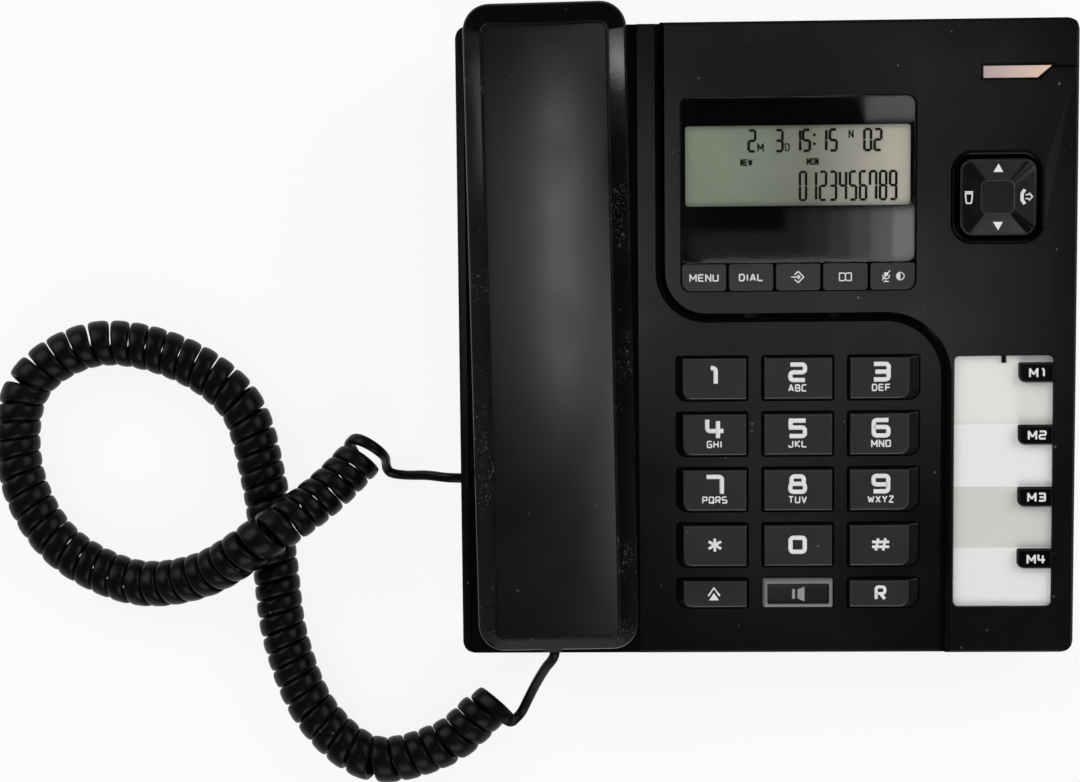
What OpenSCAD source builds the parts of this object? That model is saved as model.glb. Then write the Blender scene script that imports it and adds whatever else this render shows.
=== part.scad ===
// Corded desk telephone: a sloping base with a cradle, keypad, display and memory keys, a handset,
// and a curly cord between them. +X is right, +Y is rear, +Z is up, and the table is at zero height.
// Places on the sloping face are u to the right, v up the slope from the front edge, and w square
// to the face. Lengths are in millimetres.

/* [Base] */
// Width of the base
base_w = 188; // [184:1:204]
// Depth of the base from front to rear
base_d = 192; // [189:1:204]
// Height of the face's front edge above the table
front_h = 24; // [23.5:0.5:30]
// Slope of the face in degrees
face_tilt = 6.6; // [5.6:0.1:8]
// Corner radius of the base seen from above
corner_r = 4; // [2:0.5:5]
// Wall thickness of the base shells
wall = 2.4; // [2:0.1:2.8]
// Thickness of the face plate
plate_t = 3; // [2.7:0.1:3.3]
// Height of the joint between the two base shells
split_h = 14; // [14:0.1:15]
// Height of the underside above the table
foot_h = 2; // [1.6:0.1:2.4]
// Diameter of a rubber foot
foot_d = 13; // [10:0.5:15]
// Distance between the wall-mounting keyholes
keyhole_pitch = 100; // [80:1:110]
// Diameter of a keyhole's entry
keyhole_d = 9; // [8:0.5:10]

/* [Fascia] */
// Height of the fascia above the keypad plate
fascia_proud = 2; // [1.6:0.1:2.4]
// Length of the fascia from the rear edge to its lower edge
fascia_deep = 89.3; // [86:0.1:92]
// Width of the fascia beside the keypad
leg_w = 39; // [37:0.5:40]
// Width of the plain strip between cradle and fascia
fascia_strip = 6.8; // [5.6:0.1:8]
// Radius of the fascia's outer corner
fascia_convex_r = 14; // [8:0.5:18]
// Radius of the fascia's inner corner
fascia_concave_r = 18.5; // [10:0.5:20]
// Bevel along the fascia's edge
fascia_bevel = 1.4; // [0.6:0.1:1.6]

/* [Keypad] */
// Width of a key hole
key_w = 22.4; // [20:0.1:22.8]
// Height of a number key hole
key_h = 14.2; // [12.5:0.1:14.6]
// Height of a function key hole in the lowest row
low_key_h = 9.8; // [9:0.1:10.5]
// Gap between key columns
col_gap = 3.8; // [2.8:0.1:4.2]
// Gap between key rows
row_gap = 3; // [2.6:0.1:3.4]
// Distance of the lowest row from the front edge
keypad_front = 13.8; // [12:0.1:15]
// Distance of the first column from the cradle
keypad_side = 11.2; // [9:0.1:12]
// Height of a key above the plate
key_rise = 2.2; // [1.6:0.1:3]
// Travel of a key
key_travel = 1.2; // [0.8:0.1:1.3]

/* [Display] */
// Width of the display recess
display_w = 71.6; // [70:0.1:73]
// Height of the display recess
display_h = 59.2; // [58:0.1:60]
// Distance of the recess from the rear edge
display_rear = 22.2; // [21:0.1:23]
// Width of the visible display
view_w = 68.2; // [62:0.1:69]
// Height of the visible display
view_h = 24.3; // [20:0.1:26]
// Width of a soft key
soft_key_w = 13.4; // [12:0.1:13.6]
// Height of a soft key
soft_key_h = 8.1; // [7:0.1:8.6]

/* [Navigation key] */
// Width of the square navigation key
nav_size = 22.9; // [21:0.1:23.4]
// Distance of its centre from the right edge
nav_side = 24.1; // [23:0.1:25]
// Distance of its centre from the rear edge
nav_rear = 53.4; // [50:0.1:56]
// Depth of the dish in its top
nav_dish = 1.2; // [0.8:0.1:1.5]

/* [Memory keys] */
// Width of the label card's recess
card_w = 30.4; // [29:0.1:31]
// Height of the label card's recess
card_h = 77.7; // [74:0.1:79]
// Distance of the recess from the right edge
card_side = 6.6; // [6:0.1:7]
// Distance of the recess from the front edge
card_front = 14.3; // [13:0.1:16]
// Width of a memory key
memory_key_w = 10.2; // [9:0.1:10.8]
// Height of a memory key
memory_key_h = 5.6; // [5:0.1:6.5]
// Distance between memory keys
memory_pitch = 19.1; // [18:0.1:19.4]

/* [Handset] */
// Length of the handset
handset_l = 196; // [192:1:200]
// Width of the handset
handset_w = 49; // [47:0.5:50]
// Height of the handset's top above the face
handset_top = 17; // [16:0.5:19]
// Angle at which the handset lies askew in the cradle
handset_askew = 0.8; // [0:0.1:0.9]
// Width of the bevel along the handset's sides
side_bevel = 6.1; // [4:0.1:7]
// Radius of the handset's crown from side to side
crown_r = 250; // [180:10:500]
// Depth of the ear and mouth caps below the face
cap_depth = 9; // [7:0.5:9.5]
// Lift of the hook plunger when the handset is off
hook_lift = 4; // [3:0.5:4]

/* [Cord] */
// Width of the flat cord
cord_w = 4.4; // [3.8:0.1:4.5]
// Thickness of the flat cord
cord_t = 2.4; // [2:0.1:2.6]
// Outer diameter of the curls
coil_d = 14.7; // [13:0.1:14.8]
// Spacing of the curls on the inner side of a bend
coil_pitch = 5.1; // [5:0.1:6]

/* [Hidden] */
$fn = 64;
// Clearances and small shared sizes
tall = 90;
over = 10;
lap = 0.02;
slip = 0.3;
seat_gap = 0.2;
edge_cut = 0.8;
seam_step = 0.6;
hem = 1.6;

// Face layout
face_l = base_d / cos(face_tilt);
right_u = base_w / 2;
cradle_rim = 2.4;
cradle_play = 1.9;
cradle_w = handset_w + 2 * cradle_play;
cradle_u = -right_u + cradle_rim + cradle_w / 2;
cradle_right = cradle_u + cradle_w / 2;
cradle_sink = 1.2;

// Fascia layout
fascia_sink = 1;
fascia_groove = 1.5;
fascia_u = cradle_right + fascia_strip;
fascia_v = face_l - fascia_deep;
leg_u = right_u - leg_w;

// Keys, as node name, column, row and the corner that is rounded more
key_gap = 0.35;
key_draft = 0.35;
key_edge = 0.4;
key_wing_left = 1.3;
key_wing_right = 2.7;
key_tip_r = 0.2;
key_round = 3.6;
key_corner = 1;
key_skirt = 1.5;
flange_t = 1.2;
flange_w = 0.9;
plunger_l = 1;
NUMBER_KEYS = [
    ["key_1", 0, 4, "left"], ["key_2", 1, 4, "none"], ["key_3", 2, 4, "right"],
    ["key_4", 0, 3, "left"], ["key_5", 1, 3, "none"], ["key_6", 2, 3, "right"],
    ["key_7", 0, 2, "left"], ["key_8", 1, 2, "none"], ["key_9", 2, 2, "right"],
    ["key_star", 0, 1, "left"], ["key_0", 1, 1, "none"], ["key_hash", 2, 1, "right"],
    ["key_redial", 0, 0, "left"], ["key_speaker", 1, 0, "none"], ["key_flash", 2, 0, "right"],
];
SOFT_KEYS = ["soft_key_1", "soft_key_2", "soft_key_3", "soft_key_4", "soft_key_5"];
MEMORY_KEYS = ["memory_key_1", "memory_key_2", "memory_key_3", "memory_key_4"];
// The keys close up evenly where the cradle, the fascia or a board boss leaves them less room
keypad_margin = [1, 6.5];
keypad_room = [leg_u - cradle_right - keypad_side, fascia_v - keypad_front]
    - keypad_margin - [1, 1] * fascia_groove;
keypad_need = [3 * key_w + 2 * col_gap, low_key_h + 4 * (key_h + row_gap)];
keypad_fit = [for (i = [0, 1]) min(1, keypad_room[i] / keypad_need[i])];
function key_size(row) = [key_w * keypad_fit[0], (row == 0 ? low_key_h : key_h) * keypad_fit[1]];
function key_u(column) =
    cradle_right + keypad_side + keypad_fit[0] * (key_w / 2 + column * (key_w + col_gap));
function key_v(row) = keypad_front + keypad_fit[1]
    * (row == 0 ? low_key_h / 2 : low_key_h + row_gap + key_h / 2 + (row - 1) * (key_h + row_gap));
function key_radii(side) = [side == "left" ? key_round : key_corner,
    side == "right" ? key_round : key_corner, key_corner, key_corner];
// The outer sides of the left and right columns slope in further than the others
function key_wings(side) = [side == "left" ? key_wing_left : 0, side == "right" ? key_wing_right : 0];
speaker_cap_rim = keypad_fit[1];
speaker_cap_r = 0.6;
speaker_cap_t = 1.2;
nib_size = [4.4, 0.9];
nib_h = 0.3;

// Navigation key layout
nav_u = right_u - nav_side;
nav_v = face_l - nav_rear;
nav_r = 3.8;
nav_gap = 0.7;
nav_top = 3;
nav_under = 0.6;
nav_flat = 9.9;
nav_flat_r = 1.8;
nav_rim = 0.5;
nav_boss_d = 9;
nav_pivot_w = -1.5;
nav_stem_d = 6;
nav_foot_gap = 0.4;
nav_dish_margin = 2.1;
nav_reach = nav_size / 2 + nav_gap + nav_dish_margin;

// Display layout, where the window and its keys close up beside the navigation key
display_r = 3;
display_inset = 6;
display_gap = 3;
display_left = fascia_u + display_inset;
panel_w = min(display_w, nav_u - nav_reach - display_gap - display_left);
display_u = display_left + panel_w / 2;
display_top_v = face_l - display_rear;
display_v = display_top_v - display_h / 2;
soft_key_gap = 0.9;
soft_key_count = len(SOFT_KEYS);
soft_fit = min(1, (panel_w - 2 * slip)
    / (soft_key_count * soft_key_w + (soft_key_count - 1) * soft_key_gap));
soft_key_v = display_top_v - display_h + slip + soft_key_h / 2;
soft_key_top = 1.7;
soft_cap_t = 1.2;
soft_stem_inset = 1.85;
soft_stem_w = 9.4;
soft_stem = [soft_stem_w * soft_fit, soft_key_h - 2 * soft_stem_inset];
window_size = [panel_w - 2 * slip, display_h - soft_key_h - 3 * slip];
window_v = display_top_v - slip - window_size[1] / 2;
window_top = 1.5;
bezel_t = 0.6;
bezel_rim = 1;
view_top = 8.9;
view_size = [min(view_w, window_size[0] - 2 * bezel_rim), view_h];
view_v = display_top_v - view_top - view_h / 2;
lcd_inset = 0.2;
lcd_h = 30;
lcd_size = [window_size[0] - 2 * lcd_inset, lcd_h];
lcd_glass_t = 2.8;
lcd_gap = 0.5;
lcd_face_w = -fascia_sink - lcd_gap;
lcd_holder_rim = 1.5;
function soft_key_u(i) =
    display_u + (i - (soft_key_count - 1) / 2) * soft_fit * (soft_key_w + soft_key_gap);
function soft_key_radii(i) = [i == 0 ? display_r - slip : key_corner,
    i == soft_key_count - 1 ? display_r - slip : key_corner, key_corner, key_corner];

// Memory key layout
card_r = 1.8;
card_t = 0.4;
card_bed = 0;
card_tooth = [0.9, 2.2];
card_u = right_u - card_side - card_w / 2;
card_v = card_front + card_h / 2;
cover_top = 1.6;
memory_key_u = right_u - card_side - slip - memory_key_w / 2;
memory_rear = 5.4;
memory_first_v = card_front + card_h - memory_rear;
memory_key_top = 2.6;
memory_key_round = 2;
memory_key_r = 0.6;
function memory_v(i) = memory_first_v - i * memory_pitch;

// Message lamp
lamp_w = 20.5;
lamp_h = 3.6;
lamp_slant = 4.3;
lamp_side = 8.2;
lamp_rear = 14.1;
lamp_tail_w = 0.7;
lamp_tail_deep = 0.6;
lamp_border = 0.8;

// Circuit board and rubber mat
board_top = -9;
board_t = 1.6;
board_left_gap = 8.8;
board_right_gap = 10;
board_rear_gap = 10.3;
board_left = cradle_right + board_left_gap;
board_right = right_u - board_right_gap;
board_front = 9;
board_rear = face_l - board_rear_gap;
mat_t = 1;
mat_rim = 2;
dome_d = 7;
dome_tip_d = 4;
dome_top = -plate_t - seat_gap - flange_t - plunger_l - key_travel - slip;
dome_small = 0.6;
boss_d = 6;
boss_hole_d = 2.6;
boss_side = 6;
boss_leg = 5;
boss_under_fascia = 2;
boss_over_display = 5;
boss_over_leg = 1;
board_head_d = 4.8;
board_screw_grip = 4;
BOARD_POINTS = [[board_left + boss_side, fascia_v - boss_under_fascia],
    [leg_u + boss_leg, card_front + boss_side], [board_left + boss_side, display_top_v + boss_over_display],
    [leg_u + boss_leg, display_top_v + boss_over_leg]];

// Underside
floor_top = foot_h + wall;
foot_sink = 1;
foot_inset = 16;
keyhole_x = -20;
keyhole_slot_w = 4.4;
keyhole_slot_l = 9;
cell_d = 10.5;
cell_l = 44.5;
cell_pitch = 11;
cell_count = 3;
cell_tip_d = 3.8;
cell_tip_l = 1;
bay_x = 28;
bay_y = 15;
bay_spare = [4, 1];
bay_size = [cell_l, cell_count * cell_pitch] + bay_spare;
bay_wall = 1.6;
bay_top = floor_top + cell_d + 2 * slip;
door_t = 1.8;
door_rim = 2.5;
door_tab = [10, 10];
door_tab_lap = 1;
door_tab_x = bay_x + bay_size[0] / 2 + door_rim + door_tab[0] / 2 - door_tab_lap;
door_screw_l = 9;
door_head_t = 1.4;

// Sockets and plugs
socket_z = 9.2;
handset_jack_y = -41.7;
line_jack_x = 40;
socket_wall = 1.6;
plug_size = [12, 6.6, 7.6];
plug_proud = 0.6;
plug_play = 0.2;
plug_latch = [8, 1, 3.2];
line_mouth = [10, 7];
line_deep = 12;
line_latch = [4, 0.9];

// Handset, in its own frame over the cradle
handset_front = 3.2;
handset_v = handset_front + handset_l / 2;
handset_r = 8;
handset_top_r = 2.5;
handset_split = 7;
handset_shoulder = 11;
handset_under = 0.5;
handset_wall = 2.2;
handset_seam = 0.4;
front_bevel = 4.8;
rear_bevel = 6.8;
under_bevel = 3.5;
handset_end = handset_seam + under_bevel + handset_wall;
crown_spare = 0.4;
cap_inset = 4.5;
cap_w = handset_w - 2 * cap_inset;
cap_lap = 1;
tub_lip = 1;
crown_room = 1;
handset_inner_top = handset_top - handset_wall - crown_room;
cap_taper = 1.5;
cap_r = 6;
ear_l = 38;
ear_inset = 32;
ear_y = handset_l / 2 - ear_inset;
mouth_l = 36;
mouth_inset = 28;
mouth_y = -handset_l / 2 + mouth_inset;
well_play = 1.8;
well_wall = 2;
well_floor = -cap_depth - slip;
ear_dish_d = 28;
ear_dish_deep = 0.8;
ear_hole_d = 2;
ear_hole_rings = [[1, 0], [6, 4.2], [12, 8.4]];
mouth_slot = [1.6, 7];
mouth_slots = 3;
mouth_slot_pitch = 4;
earpiece_d = ear_l - 2 * (cap_taper + handset_wall + slip);
earpiece_magnet_d = 19;
earpiece_l = 7;
handset_mic_d = 9.7;
handset_mic_l = 6.5;
handset_screw_y = [-24, 24];
handset_socket_x = -1.5;
handset_socket_play = 1.3;
handset_socket_size = [12, 13,
    handset_inner_top - handset_under - handset_wall - handset_socket_play];
handset_post_d = 7;
handset_head_d = 5.2;
handset_head_t = 1.8;
handset_head_top = 3;
handset_shaft_d = 2.5;
handset_shaft_l = 9;
handset_post_hole_d = 2.8;

// Hands-free parts
speaker_d = 40;
speaker_back = 6.2;
speaker_v = handset_v - speaker_back;
speaker_rim_t = 2.5;
speaker_cone_d = 20;
speaker_cone_l = 7.5;
speaker_magnet_d = 18;
speaker_magnet_l = 5;
grille_slots = 6;
grille_pitch = 4.6;
grille_slot = [2.2, 22];
mic_d = 6;
mic_l = 5;
mic_hole_d = 1.5;
mic_x = 30;
mic_z = 18;

// Hook switch
hook_front = 12.2;
hook_v = handset_v + ear_y - ear_l / 2 - hook_front;
hook_size = [10, 5];
hook_r = 1;
hook_top = 0.2;
hook_flange = [12.4, 7.4];
hook_flange_t = 1.2;
hook_flange_top = -plate_t - seat_gap - hook_lift;
hook_cup = [13, 8];
hook_cup_wall = 1.6;
hook_cup_low = -16;
hook_spring_d = 5.8;
hook_wire_d = 0.8;
hook_spring_turns = 5;
spring_gap = 0.1;

// Case posts and screws, from the base's centre
post_d = 6.4;
post_low = 10;
post_hole_d = 3;
post_hole_l = 8;
pillar_d = 9.2;
head_d = 5.8;
head_t = 2;
head_low = 5;
shaft_d = 2.8;
shaft_l = 10;
screw_play = 0.8;
post_left = 10;
post_right = 5.8;
post_strip = 3.3;
post_ends = 12;
post_front = 10;
post_before_speaker = 17;
post_before_hook = 5;
CASE_POINTS = [[-right_u + post_left, speaker_v - base_d / 2 - post_before_speaker],
    [-right_u + post_left, hook_v - base_d / 2 - post_before_hook],
    [right_u - post_right, -base_d / 2 + post_ends], [right_u - post_right, base_d / 2 - post_ends],
    [cradle_right + post_strip, -base_d / 2 + post_front],
    [cradle_right + post_strip, base_d / 2 - post_ends]];

// Cord: the axis of the curls and the two leads, as points from the base's centre
cord_sides = 6;
lead_sides = 8;
curl_rings = 8;
route_steps = 12;
lead_steps = 3;
lead_gap = 0.1;
oval_power = 0.6;
curl_r = (coil_d - cord_t) / 2;
COIL_ROUTE = [
    [-124, -31, 8], [-138, -46, 15], [-157, -60, 22.5], [-178, -72, 15.5], [-202, -74, 9],
    [-226, -61, 7.4], [-238, -37, 7.4], [-235, -11, 7.4], [-214, 2, 7.4], [-188, -2, 7.4],
    [-167, -17, 7.4], [-159, -42, 7.4], [-155.5, -68, 7.4], [-152, -93, 7.4], [-142, -117, 7.4],
    [-124, -131, 7.4], [-101, -126, 7.4], [-86, -113, 7.4],
];
BASE_LEAD_ROUTE = [[-116, -37.6, 13], [-109, -39.5, 10.5], [-102, -41, 9.4], [-98, -41.7, 9.2]];
HANDSET_LEAD_ROUTE = [[-80.3, -119, 11], [-77.3, -117.6, 8.5], [-75, -113, 10.5],
    [-71.5, -106, 18], [-68, -100, 26.5]];

// The whole part is centred between the base's front and the handset's rear end
handset_rear_y = -base_d / 2 + (handset_v + handset_l / 2) * cos(face_tilt)
    - handset_split * sin(face_tilt);
frame_y = (base_d / 2 - handset_rear_y) / 2;

// Shared shapes

function same(r) = [r, r, r, r];

// Rectangle about its centre with its own radius at each corner, from front left anticlockwise
module corner_rect(size, radii) {
    x = size[0] / 2;
    y = size[1] / 2;
    polygon([
        [-x, -y + radii[0]], [-x + radii[0], -y], [x - radii[1], -y], [x, -y + radii[1]],
        [x, y - radii[2]], [x - radii[2], y], [-x + radii[3], y], [-x, y - radii[3]],
    ]);
    translate([-x + radii[0], -y + radii[0]]) circle(radii[0]);
    translate([x - radii[1], -y + radii[1]]) circle(radii[1]);
    translate([x - radii[2], y - radii[2]]) circle(radii[2]);
    translate([-x + radii[3], y - radii[3]]) circle(radii[3]);
}

module slab(size, radii, low, high) {
    translate([0, 0, low]) linear_extrude(high - low) corner_rect(size, radii);
}

module peg(d, low, high) {
    translate([0, 0, low]) cylinder(d = d, h = high - low);
}

// Profiles drawn as side and height, run along the other level direction
module along_y(from, to) {
    translate([0, to, 0]) rotate([90, 0, 0]) linear_extrude(to - from) children();
}

module along_x(from, to) {
    translate([from, 0, 0]) rotate([90, 0, 90]) linear_extrude(to - from) children();
}

// Frames
module placed() {
    translate([0, frame_y, 0]) children();
}

module on_face(u = 0, v = 0) {
    translate([0, -base_d / 2, front_h]) rotate([face_tilt, 0, 0]) translate([u, v, 0]) children();
}

module at_handset() {
    on_face(cradle_u, handset_v) rotate([0, 0, handset_askew]) children();
}

// Base shells

module top_envelope() {
    intersection() {
        slab([base_w, base_d], same(corner_r), split_h, tall);
        on_face() along_y(-over, face_l + over) polygon([
            [-right_u + edge_cut, 0], [right_u - edge_cut, 0],
            [right_u - edge_cut + tall, -tall], [-right_u + edge_cut - tall, -tall],
        ]);
        on_face() along_x(-right_u - over, right_u + over) polygon([
            [edge_cut, 0], [face_l - edge_cut, 0],
            [face_l - edge_cut + tall, -tall], [edge_cut - tall, -tall],
        ]);
    }
}

module top_cavity() {
    intersection() {
        slab([base_w - 2 * wall, base_d - 2 * wall], same(corner_r - wall / 2), split_h - lap, tall);
        on_face() translate([-right_u, -over, -tall - plate_t]) cube([base_w, face_l + 2 * over, tall]);
    }
}

module cap_wells(grow, low) {
    size = cap_w + 2 * (well_play + grow);
    on_face(cradle_u, handset_v + ear_y)
        slab([size, ear_l + 2 * (well_play + grow)], same(cap_r + well_play), low, over);
    on_face(cradle_u, handset_v + mouth_y)
        slab([size, mouth_l + 2 * (well_play + grow)], same(cap_r + well_play), low, over);
}

module case_posts(d, low, high) {
    for (p = CASE_POINTS)
        translate(p) peg(d, low, high);
}

module board_bosses(d, low, high) {
    for (p = BOARD_POINTS)
        on_face(p[0], p[1]) peg(d, low, high);
}

module fascia_outline(grow) {
    left = fascia_u - grow;
    lower = fascia_v - grow;
    leg = leg_u - grow;
    convex = fascia_convex_r + grow;
    concave = fascia_concave_r - grow;
    difference() {
        union() {
            translate([left, lower]) square([right_u + over - left, face_l + over - lower]);
            translate([leg, -over]) square([right_u + over - leg, lower + 2 * over]);
            difference() {
                translate([leg - concave, lower - concave]) square(concave + lap);
                translate([leg - concave, lower - concave]) circle(concave);
            }
        }
        difference() {
            translate([left - lap, lower - lap]) square(convex + lap);
            translate([left + convex, lower + convex]) circle(convex);
        }
    }
}

// Holes through the plate under the keys, the display and the navigation key
module face_holes() {
    for (key = NUMBER_KEYS)
        on_face(key_u(key[1]), key_v(key[2])) slab(key_size(key[2]), key_radii(key[3]), -over, over);
    for (i = [0 : len(SOFT_KEYS) - 1])
        on_face(soft_key_u(i), soft_key_v)
            slab(soft_stem + [2, 2] * key_gap, same(key_corner), -over, over);
    memory_notches();
    on_face(display_u, view_v) slab(lcd_size + [2, 2] * slip, same(key_corner), -over, over);
    on_face(nav_u, nav_v) peg(nav_boss_d + 2 * nav_gap, -over, over);
}

module cradle_cuts() {
    on_face(cradle_u, face_l / 2)
        translate([-cradle_w / 2, -face_l, -cradle_sink]) cube([cradle_w, 2 * face_l, over]);
    cap_wells(0, well_floor);
    on_face(cradle_u, hook_v) slab(hook_size + [2, 2] * key_gap, same(hook_r), -over, over);
    for (i = [0 : grille_slots - 1])
        on_face(cradle_u + (i - (grille_slots - 1) / 2) * grille_pitch, speaker_v)
            slab(grille_slot, same(grille_slot[0] / 2 - lap), -over, over);
}

module base_top() {
    color("#1c1c1c") difference() {
        top_envelope();
        difference() {
            top_cavity();
            cap_wells(well_wall, well_floor - well_wall);
            case_posts(post_d, post_low, tall);
            board_bosses(boss_d, board_top, over);
        }
        difference() {
            on_face() translate([0, 0, -fascia_sink]) linear_extrude(over) fascia_outline(fascia_groove);
            memory_sheet(-fascia_sink - lap, card_bed);
        }
        cradle_cuts();
        face_holes();
        case_posts(post_hole_d, post_low - over, post_low + post_hole_l);
        board_bosses(boss_hole_d, board_top - over, board_top + boss_d);
        translate([mic_x, -base_d / 2 - over, mic_z])
            rotate([-90, 0, 0]) cylinder(d = mic_hole_d, h = 2 * over);
    }
}

module bottom_envelope() {
    half_w = right_u - seam_step;
    half_d = base_d / 2 - seam_step;
    intersection() {
        slab([2 * half_w, 2 * half_d], same(corner_r), foot_h, split_h);
        along_y(-base_d, base_d) polygon([
            [-half_w + hem, foot_h - lap], [half_w - hem, foot_h - lap],
            [half_w - hem + tall, foot_h + tall], [-half_w + hem - tall, foot_h + tall],
        ]);
        along_x(-base_w, base_w) polygon([
            [-half_d + hem, foot_h - lap], [half_d - hem, foot_h - lap],
            [half_d - hem + tall, foot_h + tall], [-half_d + hem - tall, foot_h + tall],
        ]);
    }
}

module keyholes() {
    for (side = [-1, 1])
        translate([keyhole_x, side * keyhole_pitch / 2, 0]) {
            peg(keyhole_d, 0, over);
            translate([-keyhole_slot_w / 2, 0, 0]) cube([keyhole_slot_w, keyhole_slot_l, over]);
            translate([0, keyhole_slot_l, 0]) peg(keyhole_slot_w, 0, over);
        }
}

module foot_places() {
    for (x = [-1, 1], y = [-1, 1])
        translate([x * (right_u - foot_inset), y * (base_d / 2 - foot_inset), 0]) children();
}

module door_plate(grow, low, high) {
    translate([bay_x, bay_y, 0])
        slab(bay_size + [2, 2] * (door_rim + grow), same(key_corner + grow), low, high);
    translate([door_tab_x, bay_y, 0])
        slab(door_tab + [2, 2] * grow, same(key_corner + grow), low, high);
}

module base_bottom() {
    mouth = [plug_size[1] + 2 * slip + plug_play, plug_size[2] + 2 * slip];
    color("#181818") difference() {
        union() {
            difference() {
                bottom_envelope();
                slab([base_w - 2 * (wall + seam_step), base_d - 2 * (wall + seam_step)],
                    same(corner_r - wall / 2), floor_top, tall);
            }
            translate([bay_x, bay_y, 0])
                slab(bay_size + [2, 2] * bay_wall, same(key_corner + bay_wall), foot_h, bay_top + bay_wall);
            intersection() {
                bottom_envelope();
                case_posts(pillar_d, foot_h, post_low);
            }
            translate([door_tab_x, bay_y, 0]) peg(post_d, foot_h, floor_top + door_screw_l);
        }
        translate([bay_x, bay_y, 0]) slab(bay_size, same(key_corner), 0, bay_top);
        door_plate(slip, 0, foot_h + door_t);
        translate([door_tab_x, bay_y, 0])
            peg(post_hole_d, 0, floor_top + door_screw_l - bay_wall);
        case_posts(head_d + screw_play, 0, head_low + head_t);
        case_posts(shaft_d + screw_play, 0, tall);
        foot_places() peg(foot_d + 2 * slip, 0, foot_h + foot_sink);
        keyholes();
        translate([-right_u, handset_jack_y, socket_z])
            cube([2 * over, mouth[0], mouth[1]], center = true);
        translate([line_jack_x, base_d / 2, socket_z])
            cube([line_mouth[0], 2 * over, line_mouth[1]], center = true);
        translate([line_jack_x, base_d / 2, socket_z - (line_mouth[1] + line_latch[1]) / 2])
            cube([line_latch[0], 2 * over, line_latch[1] + lap], center = true);
    }
}

module rubber_feet() {
    color("#2a2a2a") foot_places() rotate_extrude() polygon([
        [0, 0], [foot_d / 2 - foot_sink, 0], [foot_d / 2, foot_sink],
        [foot_d / 2, foot_h + foot_sink], [0, foot_h + foot_sink],
    ]);
}

module base_screws() {
    color("#8a8a88") {
        case_posts(head_d, head_low, head_low + head_t);
        case_posts(shaft_d, head_low + head_t - lap, head_low + head_t + shaft_l);
        board_bosses(board_head_d, board_top - board_t - head_t, board_top - board_t);
        board_bosses(boss_hole_d - seat_gap, board_top - board_t - lap, board_top + board_screw_grip);
        translate([door_tab_x, bay_y, foot_h]) {
            cylinder(d1 = head_d, d2 = shaft_d, h = door_head_t);
            cylinder(d = shaft_d, h = door_screw_l);
        }
    }
}

// Battery door and cells

module battery_door() {
    color("#181818") difference() {
        door_plate(0, foot_h, foot_h + door_t);
        translate([door_tab_x, bay_y, foot_h - lap])
            cylinder(d1 = head_d + seat_gap, d2 = shaft_d + seat_gap, h = door_head_t + lap);
        translate([door_tab_x, bay_y, 0]) peg(shaft_d + seat_gap, 0, over);
    }
}

module battery_cells() {
    color("#3d6f5a") for (i = [0 : cell_count - 1])
        translate([bay_x - cell_l / 2, bay_y + (i - (cell_count - 1) / 2) * cell_pitch,
            floor_top + slip + cell_d / 2])
            mirror([i % 2, 0, 0]) translate([-(i % 2) * cell_l, 0, 0]) rotate([0, 90, 0]) {
                cylinder(d = cell_d, h = cell_l - cell_tip_l);
                cylinder(d = cell_tip_d, h = cell_l);
            }
}

// Fascia and display

module fascia_edge_cuts() {
    top = fascia_proud;
    low = top - fascia_bevel - over;
    reach = fascia_bevel + over;
    right = fascia_u + fascia_convex_r;
    lower = fascia_v + fascia_convex_r;
    inner_u = leg_u - fascia_concave_r;
    inner_v = fascia_v - fascia_concave_r;
    along_y(lower, face_l + over)
        polygon([[fascia_u - over, low], [fascia_u + reach, top + over], [fascia_u - over, top + over]]);
    along_y(-over, inner_v)
        polygon([[leg_u - over, low], [leg_u + reach, top + over], [leg_u - over, top + over]]);
    along_x(right, inner_u)
        polygon([[fascia_v - over, low], [fascia_v + reach, top + over], [fascia_v - over, top + over]]);
    translate([right, lower, 0]) rotate([0, 0, 180]) rotate_extrude(angle = 90)
        polygon([[fascia_convex_r + over, low], [fascia_convex_r + over, top + over],
            [fascia_convex_r - reach, top + over]]);
    translate([inner_u, inner_v, 0]) rotate_extrude(angle = 90)
        polygon([[fascia_concave_r - over, low], [fascia_concave_r + reach, top + over],
            [fascia_concave_r - over, top + over]]);
}

module lamp_outline(grow) {
    right = right_u - lamp_side;
    top = face_l - lamp_rear;
    polygon([
        [right - lamp_w - grow, top - lamp_h - grow], [right - lamp_slant + grow, top - lamp_h - grow],
        [right + 2 * grow, top + grow], [right - lamp_w - grow, top + grow],
    ]);
}

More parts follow.
